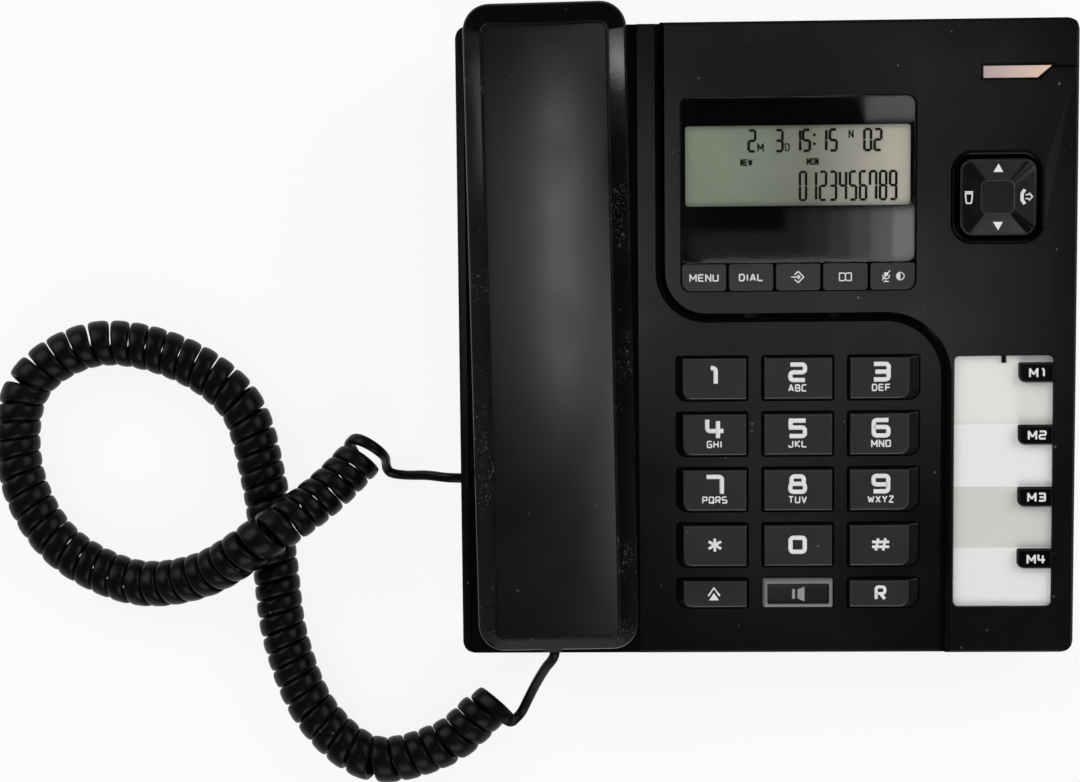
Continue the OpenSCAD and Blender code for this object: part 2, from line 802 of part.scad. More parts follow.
module fascia_panel() {
    half_w = right_u + fascia_proud;
    color("#1e1e1e") difference() {
        intersection() {
            slab([base_w, base_d], same(corner_r), 0, tall);
            on_face() translate([0, 0, -fascia_sink])
                linear_extrude(fascia_sink + fascia_proud) fascia_outline(0);
            on_face() along_y(-over, face_l + over) polygon([
                [-half_w, fascia_proud], [right_u - edge_cut, fascia_proud],
                [right_u - edge_cut + tall, fascia_proud - tall], [-half_w, fascia_proud - tall],
            ]);
            on_face() along_x(-half_w, half_w) polygon([
                [edge_cut, fascia_proud], [face_l - edge_cut, fascia_proud],
                [face_l - edge_cut + tall, fascia_proud - tall], [edge_cut - tall, fascia_proud - tall],
            ]);
        }
        on_face() fascia_edge_cuts();
        on_face(display_u, display_v) slab([panel_w, display_h], same(display_r), -over, over);
        difference() {
            on_face(card_u, card_v) slab([card_w, card_h], same(card_r), -over, over);
            card_notch(0, cover_top);
        }
        on_face(nav_u, nav_v) {
            slab([1, 1] * (nav_size + 2 * nav_gap), same(nav_r + nav_gap), -over, over);
            hull() {
                slab([1, 1] * (nav_size + 2 * nav_gap), same(nav_r + nav_gap),
                    fascia_proud - fascia_bevel, fascia_proud, $fn = 32);
                slab([1, 1] * (nav_size + 2 * nav_gap + 2 * nav_dish_margin),
                    same(nav_r + nav_gap + nav_dish_margin), fascia_proud, fascia_proud + lap, $fn = 32);
            }
        }
        on_face() translate([0, 0, -over]) linear_extrude(2 * over) lamp_outline(slip / 2);
        on_face() translate([0, 0, fascia_proud - lamp_tail_deep])
            linear_extrude(over) lamp_outline(lamp_border);
        on_face(right_u - lamp_side, face_l - lamp_rear - lamp_tail_w)
            translate([0, 0, fascia_proud - lamp_tail_deep])
                cube([lamp_side - fascia_bevel, lamp_tail_w, over]);
    }
}

module led_lens() {
    color("#d8c4b4") on_face() translate([0, 0, -fascia_sink])
        linear_extrude(fascia_sink + fascia_proud) lamp_outline(0);
}

module display_window() {
    color("#c8d0d4", 0.4) on_face(display_u, window_v)
        slab(window_size, same(display_r - slip), bezel_t - fascia_sink, window_top);
}

module display_bezel() {
    color("#0a0a0a") difference() {
        on_face(display_u, window_v)
            slab(window_size, same(display_r - slip), -fascia_sink, bezel_t - fascia_sink);
        on_face(display_u, view_v) slab(view_size, same(key_corner), -over, over);
    }
}

module lcd_panel() {
    color("#7e8a78") on_face(display_u, view_v) {
        slab(lcd_size, same(key_corner), lcd_face_w - lcd_glass_t, lcd_face_w);
        slab(lcd_size - [2, 2] * lcd_holder_rim, same(key_corner),
            board_top, lcd_face_w - lcd_glass_t + lap);
    }
}

// Memory label

module memory_notches() {
    for (i = [0 : len(MEMORY_KEYS) - 1])
        on_face(memory_key_u, memory_v(i)) slab([memory_key_w, memory_key_h] + [2, 2] * slip,
            [memory_key_round + slip, memory_key_r, memory_key_r, memory_key_r], -over, over);
}

// Small tooth at the rear edge of the recess, or its notch in the sheets
module card_notch(grow, high) {
    on_face(card_u, card_front + card_h - card_tooth[1] / 2)
        slab(card_tooth + [2, 2] * grow, same(key_tip_r), -over, high);
}

module memory_sheet(low, high) {
    difference() {
        on_face(card_u, card_v)
            slab([card_w, card_h] - [2, 2] * slip, same(card_r - slip), low, high);
        memory_notches();
        card_notch(slip, over);
    }
}

module memory_card() {
    color("#f4f3ef") memory_sheet(card_bed, card_bed + card_t);
}

module memory_cover() {
    color("#f0f4f6", 0.35) memory_sheet(card_bed + card_t, cover_top);
}

// Keys

// Drafted cap with a small bevel round its top, and its left and right sides sloping in by the wings
module key_cap(size, radii, wings, low, top) {
    inset = size - [2, 2] * key_draft - [wings[0] + wings[1], 0];
    rim = inset - [2, 2] * key_edge;
    inset_radii = [for (r = radii) max(r - key_draft, key_edge + key_tip_r)];
    rim_radii = [for (r = inset_radii) max(r - key_edge, key_tip_r)];
    hull() {
        slab(size, radii, low, 0, $fn = 20);
        translate([(wings[0] - wings[1]) / 2, 0, 0]) {
            slab(inset, inset_radii, top - key_edge - lap, top - key_edge, $fn = 20);
            slab(rim, rim_radii, top - lap, top, $fn = 20);
        }
    }
}

// Stem under a cap, with the flange that holds it below the plate and the plunger over its dome
module key_stem(size, cap_low) {
    slab(size, same(key_edge), -plate_t - seat_gap - lap, cap_low + lap);
    slab(size + [2, 2] * (key_gap + flange_w), same(key_edge), -plate_t - seat_gap - flange_t,
        -plate_t - seat_gap);
    peg(dome_tip_d, -plate_t - seat_gap - flange_t - plunger_l, -plate_t - seat_gap);
}

module number_key(key) {
    hole = key_size(key[2]);
    size = hole - [2, 2] * key_gap;
    on_face(key_u(key[1]), key_v(key[2])) difference() {
        union() {
            key_cap(size, [for (r = key_radii(key[3])) r - key_gap], key_wings(key[3]), -key_skirt, key_rise);
            key_stem(size - [1, 1] * key_round, -key_skirt);
            if (key[0] == "key_5")
                translate([0, -size[1] / 2 + key_draft + key_edge + nib_size[1] / 2, 0])
                    slab(nib_size, same(key_tip_r), key_rise - lap, key_rise + nib_h);
        }
        if (key[0] == "key_speaker")
            speaker_cap_slab(slip / 2, key_rise - speaker_cap_t);
    }
}

module speaker_cap_slab(grow, low) {
    size = key_size(0) - [2, 2] * (key_gap + key_draft + speaker_cap_rim - grow);
    slab(size, same(speaker_cap_r), low, key_rise + grow);
}

module key_speaker_cap() {
    color("#141414") on_face(key_u(1), key_v(0)) speaker_cap_slab(0, key_rise - speaker_cap_t);
}

module soft_key(i) {
    on_face(soft_key_u(i), soft_key_v) {
        slab([soft_key_w * soft_fit, soft_key_h], soft_key_radii(i),
            soft_key_top - soft_cap_t, soft_key_top);
        key_stem(soft_stem, soft_key_top - soft_cap_t);
    }
}

module memory_key(i) {
    size = [memory_key_w, memory_key_h];
    on_face(memory_key_u, memory_v(i)) {
        slab(size, [memory_key_round, memory_key_r, memory_key_r, memory_key_r],
            -key_skirt, memory_key_top);
        key_stem(size - [2, 2] * key_corner, -key_skirt);
    }
}

module nav_key() {
    color("#202020") on_face(nav_u, nav_v) {
        difference() {
            slab([1, 1] * nav_size, same(nav_r), nav_under, nav_top);
            hull() {
                slab([1, 1] * (nav_size - 2 * nav_rim), same(nav_r - nav_rim),
                    nav_top, nav_top + lap, $fn = 32);
                slab([1, 1] * nav_flat, same(nav_flat_r), nav_top - nav_dish, nav_top, $fn = 32);
            }
        }
        peg(nav_boss_d, nav_pivot_w + slip / 2, nav_under + lap);
    }
}

module nav_stem() {
    color("#3a3a3a") on_face(nav_u, nav_v)
        peg(nav_stem_d, board_top + nav_foot_gap, nav_pivot_w - slip / 2);
}

// Inside the base

module main_pcb() {
    color("#1d5c3a") difference() {
        on_face() translate([board_left, board_front, board_top - board_t])
            cube([board_right - board_left, board_rear - board_front, board_t]);
        board_bosses(boss_hole_d + screw_play, board_top - over, board_top + over);
    }
}

// Rubber sheet between two face points
module mat_strip(from, to) {
    translate([from[0], from[1], board_top]) cube([to[0] - from[0], to[1] - from[1], mat_t]);
}

module dome(u, v, scale_by = 1) {
    translate([u, v, board_top + mat_t - lap])
        cylinder(d1 = dome_d * scale_by, d2 = dome_tip_d * scale_by, h = dome_top - board_top - mat_t);
}

module keypad_mat() {
    low = [key_u(0), key_v(0)] - key_size(0) / 2 - [1, 1] * mat_rim;
    high = [key_u(2), key_v(4)] + key_size(4) / 2 + [1, 1] * mat_rim;
    strip = memory_key_h;
    nav_half = nav_size / 2;
    color("#5a5a58") on_face() {
        mat_strip(low, high);
        mat_strip([display_u - strip, high[1] - lap], [display_u + strip, soft_key_v]);
        mat_strip([soft_key_u(0) - strip, soft_key_v - strip], [soft_key_u(4) + strip, soft_key_v + strip]);
        mat_strip([memory_key_u - strip, memory_v(3) - strip], [board_right, memory_v(0) + strip]);
        mat_strip([high[0] - lap, memory_v(1)], [memory_key_u, memory_v(1) + strip]);
        mat_strip([memory_key_u - strip, memory_v(0)], [memory_key_u, nav_v]);
        difference() {
            mat_strip([nav_u - nav_half, nav_v - nav_half], [nav_u + nav_half, nav_v + nav_half]);
            translate([nav_u, nav_v, 0]) peg(nav_stem_d + 2 * nav_gap, -over, 0);
        }
        for (key = NUMBER_KEYS)
            dome(key_u(key[1]), key_v(key[2]));
        for (i = [0 : len(SOFT_KEYS) - 1])
            dome(soft_key_u(i), soft_key_v);
        for (i = [0 : len(MEMORY_KEYS) - 1])
            dome(memory_key_u - dome_d / 4, memory_v(i), dome_small);
        for (x = [-1, 1], y = [-1, 1])
            dome(nav_u + x * nav_half / 2, nav_v + y * nav_half / 2, dome_small);
    }
}

module loudspeaker() {
    low = -speaker_rim_t - speaker_cone_l;
    color("#4a4a4c") on_face(cradle_u, speaker_v) translate([0, 0, -plate_t]) rotate_extrude() polygon([
        [0, 0], [speaker_d / 2, 0], [speaker_d / 2, -speaker_rim_t],
        [speaker_d / 2 - speaker_rim_t, -speaker_rim_t], [speaker_cone_d / 2, low],
        [speaker_magnet_d / 2, low], [speaker_magnet_d / 2, low - speaker_magnet_l],
        [0, low - speaker_magnet_l],
    ]);
}

module base_microphone() {
    color("#b8b8b4") translate([mic_x, -base_d / 2 + wall, mic_z])
        rotate([-90, 0, 0]) cylinder(d = mic_d, h = mic_l);
}

// Cavity for a plug that points along +X from the origin at its mouth
module plug_cavity(length) {
    translate([-over, -plug_size[1] / 2 - plug_play, -plug_size[2] / 2 - plug_play])
        cube([over + length, plug_size[1] + 2 * plug_play, plug_size[2] + 2 * plug_play]);
}

// Modular plug along +X, with its rear face at the origin
module plug() {
    translate([0, -plug_size[1] / 2 + plug_latch[1], -plug_size[2] / 2])
        cube([plug_size[0], plug_size[1] - plug_latch[1], plug_size[2]]);
    translate([plug_size[0] - plug_latch[0], -plug_size[1] / 2, -plug_latch[2] / 2])
        cube([plug_latch[0], plug_latch[1] + lap, plug_latch[2]]);
}

module handset_jack() {
    inner_x = -right_u + seam_step + wall;
    width = plug_size[1] + 2 * (plug_play + socket_wall);
    length = plug_size[0] + socket_wall;
    high = 2 * (socket_z - floor_top);
    color("#202022") difference() {
        translate([inner_x, handset_jack_y - width / 2, floor_top]) cube([length, width, high]);
        translate([inner_x, handset_jack_y, socket_z]) plug_cavity(plug_size[0]);
    }
}

module line_jack() {
    inner_y = base_d / 2 - seam_step - wall;
    width = line_mouth[0] + 2 * socket_wall;
    high = 2 * (socket_z - floor_top);
    color("#202022") difference() {
        translate([line_jack_x - width / 2, inner_y - line_deep - socket_wall, floor_top])
            cube([width, line_deep + socket_wall, high]);
        translate([line_jack_x - line_mouth[0] / 2, inner_y - line_deep, socket_z - line_mouth[1] / 2])
            cube([line_mouth[0], line_deep + over, line_mouth[1]]);
        translate([line_jack_x - line_latch[0] / 2, inner_y - line_deep,
            socket_z - line_mouth[1] / 2 - line_latch[1]])
            cube([line_latch[0], line_deep + over, line_latch[1] + lap]);
    }
}

// Hook switch

module hook_plunger() {
    low = hook_flange_top - hook_flange_t;
    color("#242424") on_face(cradle_u, hook_v) {
        slab(hook_size, same(hook_r), low + lap, hook_top);
        slab(hook_flange, same(hook_r), low, hook_flange_top);
    }
}

module hook_housing() {
    outer = hook_cup + [2, 2] * hook_cup_wall;
    color("#303032") on_face(cradle_u, hook_v) difference() {
        slab(outer, same(hook_r + hook_cup_wall), hook_cup_low - hook_cup_wall, -plate_t);
        slab(hook_cup, same(hook_r), hook_cup_low, over);
    }
}

module hook_spring() {
    high = hook_flange_top - hook_flange_t - hook_wire_d / 2 - spring_gap;
    low = hook_cup_low + hook_wire_d / 2 + spring_gap;
    coil_r = (hook_spring_d - hook_wire_d) / 2;
    turns = [for (k = [0 : hook_spring_turns * curl_rings]) k / curl_rings];
    out = [for (t = turns) [cos(360 * t), sin(360 * t), 0]];
    path = [for (i = [0 : len(turns) - 1])
        coil_r * out[i] + [0, 0, low + (high - low) * turns[i] / hook_spring_turns]];
    color("#9a9a98") on_face(cradle_u, hook_v)
        tube(tube_rings(path, out, hook_wire_d, hook_wire_d, cord_sides));
}

// Handset

module handset_cover() {
    top_l = handset_l - front_bevel - rear_bevel;
    cavity = [handset_w - 2 * (side_bevel - handset_wall / 2), handset_l - 2 * handset_end];
    color("#262626") at_handset() difference() {
        intersection() {
            hull() {
                slab([handset_w, handset_l], same(handset_r), handset_split, handset_shoulder, $fn = 32);
                translate([0, (front_bevel - rear_bevel) / 2, 0])
                    slab([handset_w - 2 * side_bevel, top_l], same(handset_top_r),
                        handset_top, handset_top + crown_spare, $fn = 32);
            }
            translate([0, 0, handset_top - crown_r]) rotate([90, 0, 0])
                cylinder(r = crown_r, h = 2 * handset_l, center = true, $fn = 200);
        }
        difference() {
            slab(cavity, same(cap_r), handset_split - lap, handset_inner_top);
            handset_screw_pegs(handset_post_d, 0, handset_top);
        }
        handset_screw_pegs(handset_post_hole_d, 0, handset_split + handset_shaft_l - handset_head_top);
        handset_socket_cuts();
    }
}

module handset_screw_pegs(d, low, high) {
    for (y = handset_screw_y)
        translate([0, y, 0]) peg(d, low, high);
}

// Mouth of the cord socket in the handset's front end
module handset_socket_cuts() {
    translate([handset_socket_x, -handset_l / 2, handset_split])
        cube([plug_size[1] + 2 * slip, 2 * over, plug_size[2] + 2 * slip], center = true);
}

module cap_shape(y, length) {
    translate([0, y, 0]) hull() {
        slab([cap_w, length], same(cap_r), handset_under, handset_under + cap_lap, $fn = 32);
        slab([cap_w - 2 * cap_taper, length - 2 * cap_taper], same(cap_r - cap_taper),
            -cap_depth, -cap_depth + lap, $fn = 32);
    }
}

module cap_cavity(y, length) {
    inset = cap_taper + handset_wall;
    translate([0, y, 0]) slab([cap_w - 2 * inset, length - 2 * inset], same(cap_r - cap_taper),
        -cap_depth + handset_wall, handset_split);
}

module handset_tub() {
    full = [handset_w, handset_l] - [2, 2] * handset_seam;
    cavity = [handset_w, handset_l] - [2, 2] * handset_end;
    color("#202020") at_handset() difference() {
        union() {
            hull() {
                slab(full, same(handset_r), handset_split - tub_lip, handset_split, $fn = 32);
                slab(full - [2, 2] * under_bevel, same(handset_r - under_bevel),
                    handset_under, handset_under + lap, $fn = 32);
            }
            cap_shape(ear_y, ear_l);
            cap_shape(mouth_y, mouth_l);
        }
        difference() {
            union() {
                slab(cavity, same(cap_r), handset_under + handset_wall, handset_split + lap);
                cap_cavity(ear_y, ear_l);
                cap_cavity(mouth_y, mouth_l);
            }
            handset_screw_pegs(handset_post_d + screw_play, -over, over);
        }
        handset_screw_pegs(handset_head_d + screw_play, -over, handset_head_top);
        handset_screw_pegs(handset_shaft_d + screw_play, -over, over);
        handset_socket_cuts();
        translate([0, ear_y, 0]) {
            peg(ear_dish_d, -cap_depth - over, -cap_depth + ear_dish_deep);
            for (ring = ear_hole_rings, k = [0 : ring[0] - 1])
                rotate([0, 0, 360 * k / ring[0]]) translate([ring[1], 0, 0])
                    peg(ear_hole_d, -cap_depth - over, -cap_depth + 2 * handset_wall);
        }
        for (i = [0 : mouth_slots - 1])
            translate([(i - (mouth_slots - 1) / 2) * mouth_slot_pitch, mouth_y, 0])
                slab(mouth_slot, same(mouth_slot[0] / 2 - lap),
                    -cap_depth - over, -cap_depth + 2 * handset_wall);
    }
}

module earpiece() {
    color("#77777a") at_handset() translate([0, ear_y, -cap_depth + handset_wall]) {
        cylinder(d = earpiece_d, h = earpiece_l / 2);
        cylinder(d = earpiece_magnet_d, h = earpiece_l);
    }
}

module handset_microphone() {
    color("#b8b8b4") at_handset() translate([0, mouth_y, -cap_depth + handset_wall])
        cylinder(d = handset_mic_d, h = handset_mic_l);
}

module handset_screws() {
    color("#8a8a88") at_handset() {
        handset_screw_pegs(handset_head_d, handset_head_top - handset_head_t, handset_head_top);
        handset_screw_pegs(handset_shaft_d, handset_head_top - lap, handset_head_top + handset_shaft_l);
    }
}

module handset_socket() {
    inner_y = -handset_l / 2 + handset_end + slip / 2;
    size = handset_socket_size;
    color("#202022") at_handset() difference() {
        translate([handset_socket_x - size[0] / 2, inner_y, handset_under + handset_wall]) cube(size);
        translate([handset_socket_x, -handset_l / 2 - plug_proud, handset_split])
            rotate([0, 0, 90]) plug_cavity(plug_size[0] + plug_play);
    }
}

// Cord

function unit(v) = v / norm(v);
function spline_point(a, b, c, d, t) =
    b + t / 2 * (c - a + t * (2 * a - 5 * b + 4 * c - d + t * (3 * (b - c) + d - a)));
function spline(p, steps) = concat(
    [for (i = [0 : len(p) - 2], k = [0 : steps - 1])
        spline_point(p[max(i - 1, 0)], p[i], p[i + 1], p[min(i + 2, len(p) - 1)], k / steps)],
    [p[len(p) - 1]]);
function directions(p) =
    [for (i = [0 : len(p) - 1]) unit(p[min(i + 1, len(p) - 1)] - p[max(i - 1, 0)])];
function running_sum(list) =
    [for (i = 0, total = 0; i <= len(list);
        total = total + (i < len(list) ? list[i] : 0), i = i + 1) total];
function mix(list, place) =
    let (i = min(floor(place), len(list) - 2))
    list[i] + (place - i) * (list[i + 1] - list[i]);
function rounded_power(x) = sign(x) * pow(abs(x), oval_power);

// Rings of a flat oval tube: thin follows the given directions, wide is square to it and to the path
function tube_rings(path, thin, width, thickness, sides) =
    let (dirs = directions(path))
    [for (i = [0 : len(path) - 1])
        let (across = unit(thin[i] - (thin[i] * dirs[i]) * dirs[i]), wide = cross(dirs[i], across))
        [for (j = [0 : sides - 1])
            path[i] + wide * width / 2 * rounded_power(cos(360 * j / sides))
                + across * thickness / 2 * rounded_power(sin(360 * j / sides))]];

module tube(rings) {
    n = len(rings[0]);
    m = len(rings);
    polyhedron(
        points = [for (ring = rings) each ring],
        faces = concat(
            [for (i = [0 : m - 2], j = [0 : n - 1])
                [i * n + j, (i + 1) * n + j, (i + 1) * n + (j + 1) % n]],
            [for (i = [0 : m - 2], j = [0 : n - 1])
                [i * n + j, (i + 1) * n + (j + 1) % n, i * n + (j + 1) % n]],
            [for (j = [1 : n - 2]) [0, j, j + 1]],
            [for (j = [1 : n - 2]) [(m - 1) * n, (m - 1) * n + j + 1, (m - 1) * n + j]]));
}

// The curls close up on the inner side of each bend, so their count follows the inner side's length
function coil_axis() = spline(COIL_ROUTE, route_steps);
function coil_table(axis) =
    let (dirs = directions(axis), reach = running_sum([for (i = [0 : len(axis) - 2])
        norm(axis[i + 1] - axis[i]) - curl_r * norm(dirs[i + 1] - dirs[i])]))
    [for (i = [0 : len(axis) - 1]) [reach[i], i]];
// Places on the axis and outward directions of the curls' rings, starting and ending on top
function curl_frames() =
    let (axis = coil_axis(), dirs = directions(axis), table = coil_table(axis),
        total = table[len(table) - 1][0], rings = round(total / coil_pitch) * curl_rings)
    [for (k = [0 : rings])
        let (place = lookup(total * k / rings, table), dir = unit(mix(dirs, place)),
            side = unit(cross([0, 0, 1], dir)), up = cross(dir, side), angle = 90 + 360 * k / curl_rings,
            out = cos(angle) * side + sin(angle) * up)
        [mix(axis, place) + curl_r * out, out]];
function curl_path(frames) =
    let (p = [for (f = frames) f[0]], last = len(p) - 1)
    concat([p[0] + cord_w * unit(p[0] - p[1])], p, [p[last] + cord_w * unit(p[last] - p[last - 1])]);
function curl_thin(frames) =
    concat([frames[0][1]], [for (f = frames) f[1]], [frames[len(frames) - 1][1]]);

// Least distance between ring corners of neighbouring curls, and of curls where the cord crosses itself
function ring_gap(a, b) = min([for (p = a, q = b) norm(p - q)]);
function curl_gap(rings) =
    let (last = len(rings) - 1, middles = [for (r = rings) (r[0] + r[cord_sides / 2]) / 2])
    min(concat(
        [for (i = [0 : last - curl_rings]) ring_gap(rings[i], rings[i + curl_rings])],
        [for (i = [0 : last], j = [i + 2 * curl_rings : 1 : last])
            if (norm(middles[i] - middles[j]) < 2 * cord_w) ring_gap(rings[i], rings[j])]));

module cord_coil() {
    frames = curl_frames();
    rings = tube_rings(curl_path(frames), curl_thin(frames), cord_w, cord_t, cord_sides);
    echo(curls = (len(frames) - 1) / curl_rings, least_curl_gap = curl_gap(rings));
    color("#1a1a1a") tube(rings);
}

// A lead from a coil's end to a plug, straight at both ends, turning its thin side evenly between them
module cord_lead(start, points, end, thin_from, thin_to) {
    path = concat([start], spline(points, lead_steps), [end]);
    last = len(path) - 1;
    thin = [for (i = [0 : last]) thin_from + (thin_to - thin_from) * i / last];
    color("#1a1a1a") tube(tube_rings(path, thin, cord_w, cord_t, lead_sides));
}

module cord_lead_base() {
    frames = curl_frames();
    path = curl_path(frames);
    away = unit(path[0] - path[1]);
    plug_end = [-right_u - plug_proud, handset_jack_y, socket_z];
    cord_lead(path[0] + away * lead_gap, concat([path[0] + away * cord_w], BASE_LEAD_ROUTE),
        plug_end - [lead_gap, 0, 0], frames[0][1], [0, 1, 0]);
}

// Point on the handset socket's axis, from the base's centre, at a distance behind the plug
function behind_plug(distance) =
    let (x = handset_socket_x, y = -handset_l / 2 - plug_proud - distance,
        u = cradle_u + x * cos(handset_askew) - y * sin(handset_askew),
        v = handset_v + x * sin(handset_askew) + y * cos(handset_askew), w = handset_split)
    [u, v * cos(face_tilt) - w * sin(face_tilt) - base_d / 2,
        front_h + v * sin(face_tilt) + w * cos(face_tilt)];

module cord_lead_handset() {
    frames = curl_frames();
    path = curl_path(frames);
    last = len(path) - 1;
    away = unit(path[last] - path[last - 1]);
    points = concat([path[last] + away * cord_w], HANDSET_LEAD_ROUTE, [behind_plug(slip + cord_w / 2)]);
    cord_lead(path[last] + away * lead_gap, points, behind_plug(slip),
        frames[len(frames) - 1][1], [1, 0, 0]);
}

module base_plug() {
    color("#c9c4b8", 0.6) translate([-right_u - plug_proud, handset_jack_y, socket_z]) plug();
}

module handset_plug() {
    color("#c9c4b8", 0.6) at_handset()
        translate([handset_socket_x, -handset_l / 2 - plug_proud, handset_split]) rotate([0, 0, 90]) plug();
}

placed() base_bottom();
placed() base_top();
placed() fascia_panel();
placed() display_window();
placed() display_bezel();
placed() lcd_panel();
placed() led_lens();
placed() memory_card();
placed() memory_cover();
placed() main_pcb();
placed() keypad_mat();
placed() base_screws();
placed() rubber_feet();
placed() battery_door();
placed() battery_cells();
placed() loudspeaker();
placed() base_microphone();
placed() line_jack();
placed() handset_jack();
placed() hook_housing();
placed() hook_spring();
placed() hook_plunger();
placed() nav_key();
placed() nav_stem();
placed() key_speaker_cap();
placed() handset_cover();
placed() handset_tub();
placed() earpiece();
placed() handset_microphone();
placed() handset_screws();
placed() handset_socket();
placed() base_plug();
placed() handset_plug();
placed() cord_lead_base();
placed() cord_coil();
placed() cord_lead_handset();
for (key = NUMBER_KEYS)
    color(key[0] == "key_speaker" ? "#77787a" : "#262626") placed() number_key(key);
for (i = [0 : len(SOFT_KEYS) - 1])
    color("#343434") placed() soft_key(i);
for (i = [0 : len(MEMORY_KEYS) - 1])
    color("#161616") placed() memory_key(i);
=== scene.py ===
import math

import bmesh
import bpy
import numpy as np
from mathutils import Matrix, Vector


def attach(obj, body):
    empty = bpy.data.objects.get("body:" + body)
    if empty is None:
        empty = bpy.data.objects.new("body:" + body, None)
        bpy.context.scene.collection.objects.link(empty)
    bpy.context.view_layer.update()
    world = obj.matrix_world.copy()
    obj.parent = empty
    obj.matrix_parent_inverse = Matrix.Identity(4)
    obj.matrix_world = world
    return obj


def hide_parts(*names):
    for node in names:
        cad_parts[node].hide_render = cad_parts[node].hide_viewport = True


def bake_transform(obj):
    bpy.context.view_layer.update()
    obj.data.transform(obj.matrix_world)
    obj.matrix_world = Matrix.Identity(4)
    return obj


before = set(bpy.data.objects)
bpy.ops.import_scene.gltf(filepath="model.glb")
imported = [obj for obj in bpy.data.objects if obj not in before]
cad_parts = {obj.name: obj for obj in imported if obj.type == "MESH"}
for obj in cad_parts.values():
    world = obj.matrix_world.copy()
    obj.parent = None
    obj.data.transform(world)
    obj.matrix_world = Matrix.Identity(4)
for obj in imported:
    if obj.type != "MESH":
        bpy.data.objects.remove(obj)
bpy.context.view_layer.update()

# Studio: a white table top, soft light, and a camera looking straight down as in the photograph.
# Three wide lamps stand low round the table, so that black plastic stays black seen from above.
# Faint panels overhead and two low cards at the sides give the black faces their sheen.
CAMERA_PLACE, CAMERA_TURN = (-0.0459, -0.03374, 0.6975), (1.41, 2.02, -0.37)
SKY_LEVELS = ((0.0, 0.3), (0.3, 0.25), (0.75, 0.1), (1.0, 0.008))
TABLE_REACH, TABLE_WHITE, TABLE_GLOW = 3, (0.84, 0.84, 0.84), 0.88
LAMP_SIZE, PANEL_HEIGHT, CARD_AIM = (1.5, 1.2), 1.6, (0, 0.1, 0.06)
LAMPS = [
    ("left_lamp", (-1.2, 0.9, 1.1), 16),
    ("right_lamp", (1.3, 0.7, 1.1), 16),
    ("front_lamp", (0.1, -1.6, 1.2), 18),
]
PANELS = [
    ("handset_sheen", (-0.13, -0.01), (-0.34, -0.04), 0.268),
    ("handset_side_sheen", (-0.34, -0.13), (-0.34, -0.04), 0.07),
    ("fascia_sheen", (0.17, 0.37), (-0.38, -0.207), 0.119),
    ("fascia_side_sheen", (0.262, 0.37), (-0.207, -0.155), 0.0165),
    ("corner_sheen", (0.21, 0.37), (-0.065, 0.02), 0.046),
    ("crest_sheen", (0.0, 0.21), (0.01, 0.12), 0.043),
    ("sill_sheen", (0.03, 0.13), (-0.205, -0.178), 0.0011),
    ("keypad_sheen", (0.045, 0.17), (-0.56, -0.207), 0.15),
    ("rear_sheen", (0.25, 0.50), (0.35, 0.60), 0.22),
    ("front_sheen", (0.20, 0.50), (-1.05, -0.75), 0.2),
]
STRIP_COUNT, STRIP_LEFT, STRIP_WIDTH, STRIP_SPAN = 6, 0.13, 0.022, (-0.207, -0.155)
STRIP_WATTS, STRIP_GROWTH = 0.00044, 1.75
CARDS = [
    ("right_card", (1.457, 0.196, 0.06), (0.04, 0.12), 0.48),
    ("left_card", (-1.45, 0.095, 0.06), (0.12, 0.12), 0.32),
]

scene = bpy.context.scene
scene.view_settings.view_transform = "Standard"
camera = bpy.data.objects.new("photo_camera", bpy.data.cameras.new("photo_camera"))
camera.data.lens = 72
camera.data.sensor_width = 36
camera.location = CAMERA_PLACE
camera.rotation_euler = [math.radians(angle) for angle in CAMERA_TURN]
scene.collection.objects.link(camera)
scene.camera = camera


def put(tree, kind, feeds=None, **settings):
    """Adds a node, sets its options and feeds its inputs with values or with other nodes' outputs."""
    node = tree.nodes.new(kind)
    for option, value in settings.items():
        setattr(node, option, value)
    for place, value in (feeds or {}).items():
        if isinstance(value, bpy.types.NodeSocket):
            tree.links.new(value, node.inputs[place])
        else:
            node.inputs[place].default_value = value
    return node


def worked(tree, operation, first, second, **settings):
    """The result of a sum worked on two values."""
    return put(tree, "ShaderNodeMath", {0: first, 1: second}, operation=operation, **settings).outputs[0]


def set_ramp(ramp, stops):
    """Sets the stops of a colour ramp, given as places and colours from the first to the last."""
    elements = ramp.color_ramp.elements
    for i, (place, colour) in enumerate(stops):
        stop = elements[0] if i == 0 else elements[-1] if i == len(stops) - 1 else elements.new(place)
        stop.position = place
        stop.color = (*colour, 1)


def new_finish(name):
    """A new material, its node tree and its shader."""
    finish = bpy.data.materials.new(name)
    finish.use_nodes = True
    return finish, finish.node_tree, finish.node_tree.nodes["Principled BSDF"]


def soft_lamp(name, place, aim, size, watts):
    """A rectangular lamp that faces the point aim."""
    data = bpy.data.lights.new(name, "AREA")
    data.shape = "RECTANGLE"
    data.size, data.size_y = size
    data.energy = watts
    lamp = bpy.data.objects.new(name, data)
    lamp.location = place
    lamp.rotation_euler = (Vector(aim) - Vector(place)).to_track_quat("-Z", "Y").to_euler()
    scene.collection.objects.link(lamp)


sky = bpy.data.worlds.new("studio_sky")
scene.world = sky
sky.use_nodes = True
tree = sky.node_tree
look = put(tree, "ShaderNodeTexCoord").outputs["Generated"]
height = put(tree, "ShaderNodeSeparateXYZ", {0: look}).outputs["Z"]
bands = put(tree, "ShaderNodeValToRGB", {0: height})
set_ramp(bands, [(place, (level, level, level)) for place, level in SKY_LEVELS])
tree.links.new(bands.outputs[0], tree.nodes["Background"].inputs["Color"])

